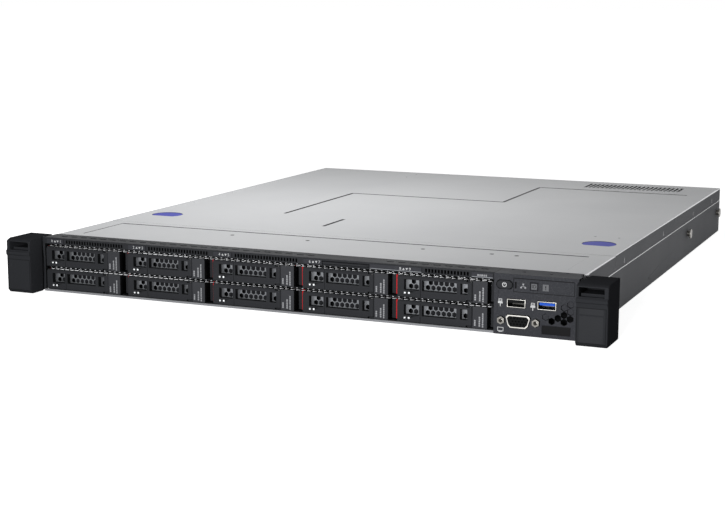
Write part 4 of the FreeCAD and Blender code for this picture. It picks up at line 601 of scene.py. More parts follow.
class Marks:
    """Printed or inlaid marks on one flat face, placed along X and Z, or along X and Y on top.

    Attributes:
        face: The face's own place along its axis, in millimetres.
        way: Way that the face looks.
        thick: How far the marks stand proud, in millimetres.
        parts: Marks made so far.
    """

    def __init__(self, face: float, way: Facing = Facing.FRONT, thick: float = INK) -> None:
        """Starts an empty set of marks on a face.

        Args:
            face: The face's own place along its axis.
            way: Way that the face looks.
            thick: How far the marks stand proud.
        """
        self.face = face
        self.way = way
        self.thick = thick
        self.parts: list[bpy.types.Object] = []

    def settle(self, x: float, z: float, turn: float = 0.0) -> "Marks":
        """Turns the active flat mark in its plane and sets it on the face.

        Args:
            x: Place along X in millimetres.
            z: Height on an upright face, or place along Y on top.
            turn: Turn in the plane, in degrees.

        Returns:
            The marks.
        """
        mark = bpy.context.object
        mark.data.transform(self.way.seat(x, self.face, z) @ Matrix.Rotation(math.radians(turn), 4, "Z"))
        self.parts.append(mark)
        return self

    def thicken(self) -> "Marks":
        """Gives the active flat mark its thickness.

        Returns:
            The marks.
        """
        with editing(bpy.context.object, "FACE"):
            bpy.ops.mesh.select_all(action="SELECT")
            bpy.ops.mesh.extrude_region_move(TRANSFORM_OT_translate={"value": (0, 0, self.thick * MM)})
            bpy.ops.mesh.select_all(action="SELECT")
            bpy.ops.mesh.normals_make_consistent(inside=False)
        return self

    def bar(self, x: float, z: float, wide: float, tall: float) -> "Marks":
        """Adds a filled rectangle.

        Args:
            x: Middle along X.
            z: Middle upwards.
            wide: Size along X.
            tall: Size upwards.

        Returns:
            The marks.
        """
        bpy.ops.object.select_all(action="DESELECT")
        bpy.ops.mesh.primitive_plane_add(size=MM)
        with editing(bpy.context.object, "FACE"):
            bpy.ops.transform.resize(value=(wide, tall, 1))
        return self.thicken().settle(x, z)

    def sign(self, x: float, z: float, bars: Sequence[Patch]) -> "Marks":
        """Adds a sign drawn with bars.

        Args:
            x: Middle of the sign along X.
            z: Its middle upwards.
            bars: Middle and size of each bar about the sign's own middle.

        Returns:
            The marks.
        """
        for across, up, wide, tall in bars:
            self.bar(x + across, z + up, wide, tall)
        return self

    def disc(self, x: float, z: float, radius: float, corners: int = 20, turn: float = 0.0) -> "Marks":
        """Adds a filled disc or regular polygon.

        Args:
            x: Middle along X.
            z: Middle upwards.
            radius: Reach of its corners.
            corners: Number of its corners.
            turn: Turn in the plane, in degrees.

        Returns:
            The marks.
        """
        bpy.ops.object.select_all(action="DESELECT")
        bpy.ops.mesh.primitive_circle_add(vertices=corners, radius=radius * MM, fill_type="NGON")
        return self.thicken().settle(x, z, turn)

    def frame(self, x: float, z: float, wide: float, tall: float, stroke: float) -> "Marks":
        """Adds the outline of a rectangle.

        Args:
            x: Middle along X.
            z: Middle upwards.
            wide: Outside size along X.
            tall: Outside size upwards.
            stroke: Width of the line.

        Returns:
            The marks.
        """
        across = (wide - stroke) / 2
        up = (tall - stroke) / 2
        inner = wide - 2 * stroke
        return self.sign(x, z, ((-across, 0.0, stroke, tall), (across, 0.0, stroke, tall),
                                (0.0, -up, inner, stroke), (0.0, up, inner, stroke)))

    def ring(self, x: float, z: float, radius: float, stroke: float) -> "Marks":
        """Adds a ring.

        Args:
            x: Middle along X.
            z: Middle upwards.
            radius: Outer radius.
            stroke: Width of the line.

        Returns:
            The marks.
        """
        bpy.ops.object.select_all(action="DESELECT")
        bpy.ops.mesh.primitive_circle_add(vertices=24, radius=radius * MM, fill_type="NGON")
        with editing(bpy.context.object, "FACE"):
            bpy.ops.mesh.select_all(action="SELECT")
            bpy.ops.mesh.inset(thickness=stroke * MM)
            bpy.ops.mesh.delete(type="FACE")
        return self.thicken().settle(x, z)

    def words(self, text: str, x: float, z: float, tall: float) -> "Marks":
        """Adds centred characters.

        Args:
            text: The characters.
            x: Middle along X.
            z: Middle upwards.
            tall: Height of a capital or figure.

        Returns:
            The marks.
        """
        bpy.ops.object.select_all(action="DESELECT")
        bpy.ops.object.text_add()
        letters = bpy.context.object
        letters.data.body = text
        letters.data.size = tall * MM / 0.7    # the built-in font's capitals are 0.7 of its size
        letters.data.align_x = "CENTER"
        letters.data.align_y = "CENTER"
        letters.data.extrude = self.thick * MM / 2
        letters.data.resolution_u = 3
        bpy.ops.object.convert(target="MESH")
        return self.settle(x, z)

    def lines(self, x: float, z: Span, wide: float, marks: Sequence[float], gap: float = 0.28) -> "Marks":
        """Adds an upright row of short marks that stands for a line of small print.

        Args:
            x: Middle of the row.
            z: Its lower and upper end.
            wide: Width of the marks.
            marks: Relative lengths of the marks.
            gap: Space between two marks.

        Returns:
            The marks.
        """
        scale = (z[1] - z[0] - gap * (len(marks) - 1)) / sum(marks)
        low = z[0]
        for length in marks:
            self.bar(x, low + length * scale / 2, wide, length * scale)
            low += length * scale + gap
        return self

    def done(self, name: str, finish: Finish, node: str) -> bpy.types.Object:
        """Joins the marks into one piece that rides with a node.

        Args:
            name: Name of the piece.
            finish: Its finish.
            node: Node whose body it takes.

        Returns:
            The piece.
        """
        piece = joined(self.parts, name)
        piece.data.materials.clear()
        piece.data.materials.append(finish.build())
        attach(piece, BODY_OF[node])
        return piece


# ---- sub-assemblies, in millimetres ----

@dataclass
class Covers:
    """Fixed front plate, sliding cover and its two touch points.

    Attributes:
        top: Height of the outer face.
        bend: Radius of the long edges.
        pressed: Beads and panels lie less deep than this under the top.
        margin: Beads and panels lie at least this far inside a sheet's outline.
        draw: Width over which the press has drawn the sheet down round a bead.
        skin: What lies deeper than this under the top is no longer the flat sheet.
        rim: Shortest edge of a bead's rim; shorter ones belong to its corners.
        long: Shortest of the long edges.
        flange: Distances from the side at which beads end, and the bend and flange begin.
        plate_plug: Radius of the black discs of painted shade in the front plate's small holes, and their depth
            under the top.
        cover_plug: The same for those in the sliding cover.
        plate_plugs: Middles of the front plate's painted-shade discs.
        cover_plugs: Middles of the sliding cover's painted-shade discs.
    """

    top: float = 43.0
    bend: float = 0.9
    pressed: float = 0.45
    margin: float = 3.0
    draw: float = 0.3
    skin: float = 0.005
    rim: float = 12.0
    long: float = 20.0
    flange: Span = (1.5, 1.2)
    plate_plug: Span = (1.7, 0.35)
    cover_plug: Span = (1.05, 0.4)
    plate_plugs: tuple[Span, ...] = ((-87.5, 54.4), (-20.9, 54.4), (75.8, 54.4), (130.6, 54.4), (149.9, 54.4))
    cover_plugs: tuple[Span, ...] = ((180.6, 165.4), (199.9, 165.4), (-103.5, 474.7), (-103.0, 501.7))

    def sheet(self, node: str) -> None:
        """Dresses one cover: rounded long edges, painted shade on pressed walls and side flanges, painted
        highlights on the bends and the sliding cover's front edge.

        Args:
            node: Cover to dress.
        """
        piece = copied(node, [COVER_STEEL, BEAD_SHADE_STEEL, SIDE_SHADE_STEEL, EDGE_HIGHLIGHT_STEEL])
        low, high = node_box(node)
        slides = node == "top_cover"

        def long_edge(a: Vector, b: Vector) -> bool:
            """Says whether an edge is one of the two outer bends."""
            at_side = min(abs(a.x), abs(b.x)) > high.x - NEAR
            return at_side and min(a.z, b.z) > self.top - NEAR and abs(a.y - b.y) > self.long

        def bead_edge(a: Vector, b: Vector) -> bool:
            """Says whether an edge is the upper rim of a bead or a panel."""
            inside = all(low[k] + self.margin < p[k] < high[k] - self.margin for p in (a, b) for k in (0, 1))
            return inside and min(a.z, b.z) > self.top - NEAR and (a - b).length > self.rim

        def coat(middle: Vector, normal: Vector, has: str) -> Finish | None:
            """Picks faces for painted shade, on pressed walls, side flanges and the front plate's front edge,
            and for a painted highlight, on bends and the sliding cover's front edge.

            Args:
                middle: Middle of a face.
                normal: Its normal.
                has: Name of its finish; not used.

            Returns:
                Its new finish, or none.
            """
            if abs(middle.x) < high.x - self.flange[0]:
                # Inside the flanges: painted shade on sunk faces, walls and floors on the sliding cover, walls
                # only on the front plate.
                sunk = self.top - self.pressed < middle.z < self.top - self.skin
                return BEAD_SHADE_STEEL if sunk and (slides or abs(normal.z) < FLAT) else None
            if abs(middle.x) <= high.x - self.flange[1]:
                return None
            # Front-facing edge at the flange: painted highlight on the sliding cover, painted shade on the
            # front plate.
            if normal.y < -ALONG:
                return EDGE_HIGHLIGHT_STEEL if slides else BEAD_SHADE_STEEL
            # Side flanges: painted shade, the darker copy of the sheet.
            if abs(normal.x) > FLANGE:
                return SIDE_SHADE_STEEL
            # Bends between top and flange: a painted highlight.
            return EDGE_HIGHLIGHT_STEEL if abs(normal.x) > LEANS else None

        round_edges(piece, self.draw, bead_edge, segments=2)
        round_edges(piece, self.bend, long_edge, segments=4)
        recoat(piece, coat)
        keep(polish(piece, edge_mm=0.1), node)

    def plugs(self, node: str, size: Span, places: Sequence[Span]) -> None:
        """Paints shade into a cover's small holes with black discs under the top.

        Args:
            node: Cover that bears them.
            size: Their radius, and their depth under the top.
            places: Their middles along X and Y.
        """
        radius, depth = size
        marks = Marks(self.top - depth, Facing.TOP)
        for x, y in places:
            marks.disc(x, y, radius)
        marks.done("plugs_of_" + node, BLACK_EPOXY_AND_SHADE, node)

    def build(self) -> None:
        """Dresses the covers."""
        self.sheet("front_cover_plate")
        self.sheet("top_cover")
        self.plugs("front_cover_plate", self.plate_plug, self.plate_plugs)
        self.plugs("top_cover", self.cover_plug, self.cover_plugs)
        dressed("touch_points", BLUE_PC)


@dataclass
class Pan:
    """Chassis pan with its rear panel, studs and screws.

    Attributes:
        ledge: Half width of the pan and height of the ledge under the cover's flange.
        rolled: Radius of the ledge's rounded edge.
        burnished: Width and depth of the band along that edge that bears a painted highlight.
        shortest: Shortest edge of the ledge that is rounded.
        recess: Depth, length and width of a slot of the studs' cross recess.
        studs: Places of the headed studs along Y and Z.
    """

    ledge: Span = (217.7, 31.0)
    rolled: float = 0.45
    burnished: Span = (1.2, 0.6)
    shortest: float = 2.0
    recess: Point = (0.6, 3.0, 0.8)
    studs: tuple[Span, ...] = ((12.0, 9.0), (30.0, 9.0), (30.0, 24.0))

    def cut_slots(self, screws: bpy.types.Object, turn: float) -> None:
        """Cuts one slot in the head of every stud.

        Args:
            screws: Dressed fasteners.
            turn: Turn of the slot about the stud's axis, in degrees.
        """
        face = node_box("fasteners")[1].x
        deep, long, wide = self.recess
        cutters = []
        for side in Side:
            for y, z in self.studs:
                bpy.ops.object.select_all(action="DESELECT")
                bpy.ops.mesh.primitive_cube_add(size=MM)
                cutter = bpy.context.object
                with editing(cutter, "FACE"):
                    bpy.ops.transform.resize(value=(2 * deep, long, wide))
                place = Matrix.Translation(Vector((side.value * face, y, z)) * MM)
                cutter.data.transform(place @ Matrix.Rotation(math.radians(turn), 4, "X"))
                cutters.append(cutter)
        tool = joined(cutters, "stud_slots")
        pick(screws)
        cut = screws.modifiers.new("slots", "BOOLEAN")
        cut.object = tool
        cut.operation = "DIFFERENCE"
        bpy.ops.object.modifier_apply(modifier=cut.name)
        bpy.data.objects.remove(tool)

    def build(self) -> None:
        """Dresses the pan and its fasteners."""
        # The pan takes the darker copy of the sheet, painted shade for its sides.
        pan = copied("chassis", [SIDE_SHADE_STEEL, EDGE_HIGHLIGHT_STEEL])
        half, rise = self.ledge
        wide, deep = self.burnished

        def ledge_edge(a: Vector, b: Vector) -> bool:
            """Says whether an edge is the outer edge of a ledge."""
            on_corner = all(abs(abs(p.x) - half) < NEAR and abs(p.z - rise) < NEAR for p in (a, b))
            return on_corner and abs(a.y - b.y) > self.shortest

        def coat(middle: Vector, normal: Vector, has: str) -> Finish | None:
            """Paints a highlight on the upward faces of the band along the ledge's edge."""
            banded = abs(middle.x) > half - wide and rise - deep < middle.z < rise + NEAR
            return EDGE_HIGHLIGHT_STEEL if banded and normal.z > LEANS else None

        round_edges(pan, self.rolled, ledge_edge)
        recoat(pan, coat)
        keep(polish(pan), "chassis")
        screws = copied("fasteners", [DULL_NICKEL])
        for turn in (0.0, 90.0):
            self.cut_slots(screws, turn)
        keep(polish(screws, edge_mm=0.15), "fasteners")


@dataclass
class DriveBays:
    """Ten drive carriers with handles, catches and label marks; one is dressed and then repeated.

    Attributes:
        count: Number of bays.
        face: Place of the drive faces along Y.
        carrier_sorts: Drive, screen and hinge pin of a carrier.
        lamps: Lamp lenses of a handle, unlit, with a painted glow.
        label_left: The labels are measured from here, against the carrier's left.
        label: Each row of small print: its middle, lower and upper end, width and marks.
        model: Number of the bay that is dressed first.
    """

    count: int = 10
    face: float = -17.0
    carrier_sorts: tuple[Sort, ...] = (Sort(ALUMINIUM, least=(60.0, 60.0, 13.5)),
                                       Sort(SCREEN_STEEL, least=(40.0, 0.0, 0.0), most=(ENDLESS, 1.0, ENDLESS)),
                                       Sort(NICKEL, most=(2.0, 2.0, ENDLESS)))
    lamps: Sort = Sort(LENS_WITH_PAINTED_GLOW, most=(2.0, ENDLESS, ENDLESS))
    label_left: float = -1.7
    label: tuple[tuple[float, Span, float, tuple[float, ...]], ...] = (
        (59.9, (1.7, 5.9), 1.15, (1.0, 1.1, 0.9)),
        (63.3, (1.4, 8.4), 1.1, (1.0, 0.9, 1.1, 0.5, 1.0)),
        (65.7, (0.9, 11.2), 1.0, (0.9, 1.1, 0.6, 1.0, 1.2, 0.8, 1.0)))
    model: int = 0

    def carrier(self, node: str) -> bpy.types.Object:
        """Dresses a carrier: moulded block, steel rails and screen, and the drive.

        Args:
            node: Carrier to dress.

        Returns:
            The dressed carrier, not yet on its body.
        """

        def coat(middle: Vector, normal: Vector, has: str) -> Finish | None:
            """Paints shade on the drive's end and the block's sides, and coarsens the label's face.

            Args:
                middle: Middle of a face.
                normal: Its normal.
                has: Name of its finish.

            Returns:
                Its new finish, or none.
            """
            # Painted shade on the block's side faces.
            if abs(normal.x) > ALONG and has == BLACK_ABS_AND_SHADE.name:
                return BLACK_EPOXY_AND_SHADE
            # Painted shade: the drive's front end turned black.
            if normal.y < -ALONG and has == ALUMINIUM.name:
                return BLACK_ABS_AND_SHADE
            return LABEL_ABS if normal.y < -ALONG and middle.y < self.face + NEAR else None

        piece = copied(node, [BLACK_ABS_AND_SHADE, SCREEN_STEEL, ALUMINIUM, NICKEL, LABEL_ABS, BLACK_EPOXY_AND_SHADE],
                       self.carrier_sorts)
        recoat(piece, coat)
        return polish(piece, bare=SCREEN_STEEL)

    def handle(self, node: str) -> bpy.types.Object:
        """Dresses a handle: moulded lever and two lamp lenses.

        Args:
            node: Handle to dress.

        Returns:
            The dressed handle, not yet on its body.
        """

        def coat(middle: Vector, normal: Vector, has: str) -> Finish | None:
            """Paints shade on the lever's side, top and bottom faces, the window walls among them."""
            on_edge = max(abs(normal.x), abs(normal.z)) > ALONG
            return BLACK_EPOXY_AND_SHADE if on_edge and has == BLACK_ABS_AND_SHADE.name else None

        piece = copied(node, [BLACK_ABS_AND_SHADE, LENS_WITH_PAINTED_GLOW, BLACK_EPOXY_AND_SHADE], [self.lamps])
        recoat(piece, coat)
        return polish(piece, edge_mm=0.14)

    def print_label(self, node: str) -> bpy.types.Object:
        """Small generic print on the label face of a carrier.

        Args:
            node: Carrier that bears it.

        Returns:
            The marks, not yet on another bay.
        """
        low = node_box(node)[0]
        marks = Marks(self.face)
        for middle, (start, end), wide, lengths in self.label:
            marks.lines(low.x + self.label_left + middle, (low.z + start, low.z + end), wide, lengths)
        return marks.done("bay_label_print", GREY_INK, node)

    def build(self) -> None:
        """Dresses the model bay and repeats it in the others."""
        first = str(self.model)
        families = {"drive_carrier_": self.carrier("drive_carrier_" + first),
                    "drive_handle_": self.handle("drive_handle_" + first),
                    "release_latch_": polish(copied("release_latch_" + first, [RED_POM]), edge_mm=0.2)}
        marks = self.print_label("drive_carrier_" + first)
        for bay in range(self.count):
            if bay == self.model:
                continue
            for family, piece in families.items():
                keep(stamped(piece, family + first, family + str(bay)), family + str(bay))
            bearer = "drive_carrier_" + str(bay)
            print_copy = stamped(marks, "drive_carrier_" + first, bearer)
            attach(print_copy, BODY_OF[bearer])
        for family, piece in families.items():
            keep(piece, family + first)


@dataclass
class BayStrip:
    """Vented strip over the bays, its bay numbers and the pull-out tab.

    Attributes:
        plate_face: Front face of the number plates.
        line: Height of the middle of the numbers.
        tall: Height of the numbers.
        arrow: Reach of an up or down mark, and how far it hangs off the line.
        columns: Left sides of the bay columns.
        offsets: Places of low number, up mark, down mark and high number from a column's left.
        last_offsets: The same on the long plate of the last column.
        small_print: Start, pitch and height of the small print on the end plate.
        small_widths: Widths of its marks.
        feet: Middle and width of the bright feet of the last two plates.
        foot: Height of the feet's middle, and their own height.
    """

    plate_face: float = -17.5
    line: float = 40.25
    tall: float = 2.1
    arrow: Span = (1.05, 0.2)
    columns: tuple[float, ...] = (-217.1, -142.2, -67.3, 7.6, 82.5)
    offsets: tuple[float, ...] = (7.2, 9.9, 12.4, 14.9)
    last_offsets: tuple[float, ...] = (3.5, 6.0, 8.5, 10.9)
    small_print: Point = (144.4, 1.5, 1.3)
    small_widths: tuple[float, ...] = (1.0, 0.8, 1.2, 0.9, 1.0)
    feet: tuple[Span, ...] = ((82.3, 39.6), (147.5, 15.4))
    foot: Span = (38.8, 0.5)

    def numbers(self) -> None:
        """Prints the two bay numbers of each column with an up and a down mark between them."""
        reach, hang = self.arrow
        for column, left in enumerate(self.columns):
            last = column == len(self.columns) - 1
            low, up, down, high = [left + offset for offset in (self.last_offsets if last else self.offsets)]
            marks = Marks(self.plate_face).words(str(2 * column), low, self.line, self.tall)
            marks.words(str(2 * column + 1), high, self.line, self.tall)
            marks.disc(up, self.line - hang, reach, 3).disc(down, self.line + hang, reach, 3, 180.0)
            marks.done("bay_numbers_%d" % column, WHITE_INK, "front_bezel")
        small = Marks(self.plate_face)
        start, pitch, tall = self.small_print
        for step, wide in enumerate(self.small_widths):
            small.bar(start + pitch * step, self.line - hang, wide, tall)
        small.done("end_plate_print", GREY_INK, "front_bezel")
        feet = Marks(self.plate_face)
        for x, wide in self.feet:
            feet.bar(x, self.foot[0], wide, self.foot[1])
        feet.done("plate_feet", SCREEN_STEEL, "front_bezel")

    def build(self) -> None:
        """Dresses the strip and the tab."""

        def coat(middle: Vector, normal: Vector, has: str) -> Finish | None:
            """Lightens the number plates, their own lighter grey, and paints shade on every face that looks
            neither forward nor up, such as those between the slats.
            """
            if normal.y < -ALONG:
                return PANEL_ABS if middle.y < self.plate_face + NEAR else None
            # Painted shade on faces that look neither forward nor up.
            return BLACK_EPOXY_AND_SHADE if normal.z < ALONG else None

        strip = copied("front_bezel", [BLACK_ABS_AND_SHADE, PANEL_ABS, BLACK_EPOXY_AND_SHADE])
        recoat(strip, coat)
        keep(polish(strip, edge_mm=0.14), "front_bezel")
        dressed("info_tab", BLACK_ABS_AND_SHADE, edge_mm=0.18)
        self.numbers()


@dataclass
class OperatorPanel:
    """Moulded panel with buttons, sockets and their signs.

    Attributes:
        face: Front face of the panel.
        plate: Front face of the sunk plate with the lamps.
        proud: How far the power button and the identification button stand ahead of the panel.
        sorts: Tongues, screws and core of the sockets.
        usb: Middles of the two USB sockets.
        usb_low: Both lie above this height.
        button: Middle of the power sign.
        power_ring: Radius and line width of its ring.
        power_stroke: Its stroke.
        ident: Middle of the identification window.
        ident_size: Size of that window, and height of its characters.
        outline: Middle, size and line width of the painted shade line along the sunk plate's joint.
        light_slot: Narrow slot beside the lamps, filled with painted shade.
        fault: Middle of the fault window.
        fault_size: Its size.
        fault_sign: Sign in it.
        network: Middle of the network lamp's sign.
        network_sign: That sign.
        sockets: Middles of the two signs beside the USB sockets.
        plug_sign: Their sign, a plain plug.
        screen: Middle of the screen sign beside the video connector.
        screen_sign: That sign.
        badge: Lower left and size of the badge's recess.
        badge_fit: Depth, thickness and play of the bare plate in it.
        border: Openings of the panel lie at least this far inside its outline.
    """

    face: float = -19.3
    plate: float = -19.1
    proud: Span = (0.6, 0.3)
    sorts: tuple[Sort, ...] = (
        Sort(BLUE_NYLON, most=(ENDLESS, ENDLESS, 2.2), after=(185.0, -ENDLESS, -ENDLESS)),
        Sort(BLACK_EPOXY_AND_SHADE, most=(ENDLESS, ENDLESS, 2.2)),
        Sort(DULL_NICKEL, most=(6.5, ENDLESS, ENDLESS)),
        Sort(BLACK_EPOXY_AND_SHADE, least=(12.0, 0.0, 6.0), most=(17.0, ENDLESS, 8.0), before=(ENDLESS, ENDLESS, 10.0)))
    usb: tuple[Span, ...] = ((173.1, 22.5), (195.0, 22.5))
    usb_low: float = 17.0
    button: Span = (164.5, 35.3)
    power_ring: Span = (1.7, 0.55)
    power_stroke: Patch = (0.0, 0.9, 0.5, 1.5)
    ident: Span = (185.7, 35.3)
    ident_size: Span = (3.9, 2.2)
    outline: tuple[float, ...] = (192.6, 35.5, 43.6, 9.8, 0.35)
    light_slot: Patch = (172.4, 35.5, 1.2, 4.4)
    fault: Span = (193.8, 35.1)
    fault_size: Span = (4.2, 4.6)
    fault_sign: tuple[Patch, ...] = ((0.0, 0.45, 0.6, 1.7), (0.0, -1.2, 0.6, 0.6))
    network: Span = (177.8, 35.2)
    network_sign: tuple[Patch, ...] = ((0.0, 1.2, 1.2, 1.0), (-1.5, -1.2, 1.2, 1.0), (1.5, -1.2, 1.2, 1.0),
                                       (0.0, 0.1, 0.3, 1.2), (0.0, -0.45, 3.0, 0.3))
    sockets: tuple[Span, ...] = ((161.6, 22.7), (185.0, 21.5))
    plug_sign: tuple[Patch, ...] = ((-1.1, 1.5, 0.4, 2.0), (1.1, 1.5, 0.4, 2.0), (0.0, 0.7, 1.8, 0.4),
                                    (0.0, 2.3, 1.8, 0.4), (-0.5, 1.5, 0.45, 0.45), (0.5, 1.5, 0.45, 0.45),
                                    (0.0, -0.2, 3.4, 1.3), (0.0, -1.9, 0.5, 2.1))
    screen: Span = (162.0, 3.6)
    screen_sign: tuple[Patch, ...] = ((-2.0, 0.0, 0.4, 2.8), (2.0, 0.0, 0.4, 2.8), (0.0, -1.2, 3.6, 0.4),
                                      (0.0, 1.2, 3.6, 0.4), (0.0, -1.75, 2.6, 0.4))
    badge: Patch = (191.6, 2.6, 20.3, 6.2)
    badge_fit: Point = (0.3, 0.22, 0.3)
    border: float = 1.0

    def ports(self) -> None:
        """Dresses the sockets: plated shells, painted shade on the USB shells' inner walls, dark cores, and one
        blue tongue.
        """

        def coat(middle: Vector, normal: Vector, has: str) -> Finish | None:
            """Paints shade on the inner walls of the USB shells.

            Args:
                middle: Middle of a face.
                normal: Its normal.
                has: Name of its finish.

            Returns:
                Its new finish, or none.
            """
            x, z = min(self.usb, key=lambda place: abs(middle.x - place[0]))
            inward = Vector((x - middle.x, 0, z - middle.z)).dot(normal) > 0
            wall = abs(normal.y) < TURNED and middle.z > self.usb_low and has == NICKEL.name
            return BLACK_EPOXY_AND_SHADE if wall and inward else None

        piece = copied("front_ports", [NICKEL, BLACK_EPOXY_AND_SHADE, BLUE_NYLON, DULL_NICKEL], self.sorts)
        recoat(piece, coat)
        keep(polish(piece, edge_mm=0.05), "front_ports")

    def signs(self) -> None:
        """Prints the signs of the panel and of its buttons, and paints shade in the plate's joint and the
        narrow slot.
        """
        key, tile = [self.face - proud for proud in self.proud]
        power = Marks(key).ring(*self.button, *self.power_ring).sign(*self.button, [self.power_stroke])
        power.done("power_symbol", WHITE_INK, "power_button")
        side, tall = self.ident_size
        Marks(tile).bar(*self.ident, side, side).done("ident_window", SMOKED_PC, "id_button")
        Marks(tile - INK).words("ID", *self.ident, tall).done("ident_symbol", BLACK_EPOXY_AND_SHADE, "id_button")
        # Painted shade: a black line along the sunk plate's joint and a black bar in the narrow slot.
        Marks(self.face).frame(*self.outline).done("plate_joint", BLACK_EPOXY_AND_SHADE, "io_panel")
        Marks(self.plate).bar(*self.light_slot).done("slot_mouth", BLACK_EPOXY_AND_SHADE, "io_panel")
        Marks(self.plate).bar(*self.fault, *self.fault_size).done("fault_window", SMOKED_PC, "io_panel")
        fault = Marks(self.plate - INK).sign(*self.fault, self.fault_sign)
        fault.done("fault_symbol", BLACK_EPOXY_AND_SHADE, "io_panel")
        Marks(self.plate).sign(*self.network, self.network_sign).done("lamp_symbols", GREY_INK, "io_panel")
        panel = Marks(self.face)
        for place in self.sockets:
            panel.sign(*place, self.plug_sign)
        panel.sign(*self.screen, self.screen_sign).done("panel_symbols", WHITE_INK, "io_panel")

    def blank_badge(self) -> None:
        """Sets a bare polished plate in the badge's recess."""
        x, z, wide, tall = self.badge
        deep, thick, play = self.badge_fit
        plate = Marks(self.face + deep, thick=thick)
        plate.bar(x + wide / 2, z + tall / 2, wide - play, tall - play)
        polish(plate.done("blank_badge", GLOSS_BLACK, "io_panel"), edge_mm=0.08)

    def build(self) -> None:
        """Dresses the panel."""
        low, high = node_box("io_panel")

        def coat(middle: Vector, normal: Vector, has: str) -> Finish | None:
            """Paints shade on the walls of the panel's openings."""
            inside = all(low[k] + self.border < middle[k] < high[k] - self.border for k in (0, 2))
            return BLACK_EPOXY_AND_SHADE if inside and abs(normal.y) < TURNED else None

        panel = copied("io_panel", [PANEL_ABS, BLACK_EPOXY_AND_SHADE])
        recoat(panel, coat)
        keep(polish(panel, edge_mm=0.16), "io_panel")
        dressed("power_button", BLACK_ABS_AND_SHADE, edge_mm=0.25)
        dressed("id_button", PANEL_ABS, edge_mm=0.2)
        self.ports()
        self.signs()
        self.blank_badge()


@dataclass
class Ears:
    """Rack ears with their brackets and triggers.

    Attributes:
        face: Front face of the moulded ears.
        middle: Middle of an ear along X.
        bracket: The brackets, which lie behind the moulded ears.
        outer: Edges past this place along X and ahead of this one along Y are rounded.
        rounding: Radius of the rounding, and the shortest edge that gets it.
        trim: Thickness of the painted shade lines.
        trim_frame: Height, size and line width of the frame of painted shade round the recessed plate.
        trim_sill: Height and size of the painted shadow line over it.
        inlay: Thickness of the bare inlaid plates.
        inlays: Those plates, on the right ear.
    """

    face: float = -34.3
    middle: float = 230.0
    bracket: Sort = Sort(BLACK_POWDER_AND_SHADE, after=(-ENDLESS, -20.0, -ENDLESS))
    outer: Span = (241.2, -1.9)
    rounding: Span = (0.8, 2.0)
    trim: float = 0.12
    trim_frame: tuple[float, ...] = (14.6, 20.4, 24.6, 0.5)
    trim_sill: Point = (31.0, 21.6, 0.7)
    inlay: float = 0.1
    inlays: tuple[Patch, ...] = ((230.0, 24.6, 16.6, 4.4), (230.0, 12.2, 16.6, 18.2))

    def ear(self, side: Side) -> None:
        """Dresses one ear with its trigger.

        Args:
            side: Side of the case.
        """
        radius, shortest = self.rounding

        def outer_edge(a: Vector, b: Vector) -> bool:
            """Says whether an edge runs round the ear's outer side or its front."""
            at_side = min(abs(a.x), abs(b.x)) > self.outer[0] and max(a.y, b.y) < self.outer[1]
            return at_side and (a - b).length > shortest

        name = side.name.lower()
        node = "rack_ear_" + name
        piece = copied(node, [EAR_NYLON, BLACK_POWDER_AND_SHADE], [self.bracket])
        round_edges(piece, radius, outer_edge)
        keep(polish(piece, edge_mm=0.16), node)
        dressed("ear_latch_" + name, EAR_NYLON, edge_mm=0.16)
        # Painted shade: black lines round the recessed plate and a shadow line under the ridge.
        trim = Marks(self.face, thick=self.trim)
        trim.frame(side.value * self.middle, *self.trim_frame)
        trim.bar(side.value * self.middle, *self.trim_sill)
        polish(trim.done("ear_frame_" + name, BLACK_POWDER_AND_SHADE, node), edge_mm=0.04)

    def build(self) -> None:
        """Dresses both ears and the blank plates of the right one."""
        for side in Side:
            self.ear(side)
        plates = Marks(self.face, thick=self.inlay)
        for patch in self.inlays:
            plates.bar(*patch)
        polish(plates.done("blank_ear_plates", BLACK_ABS_AND_SHADE, "rack_ear_right"), edge_mm=0.03)


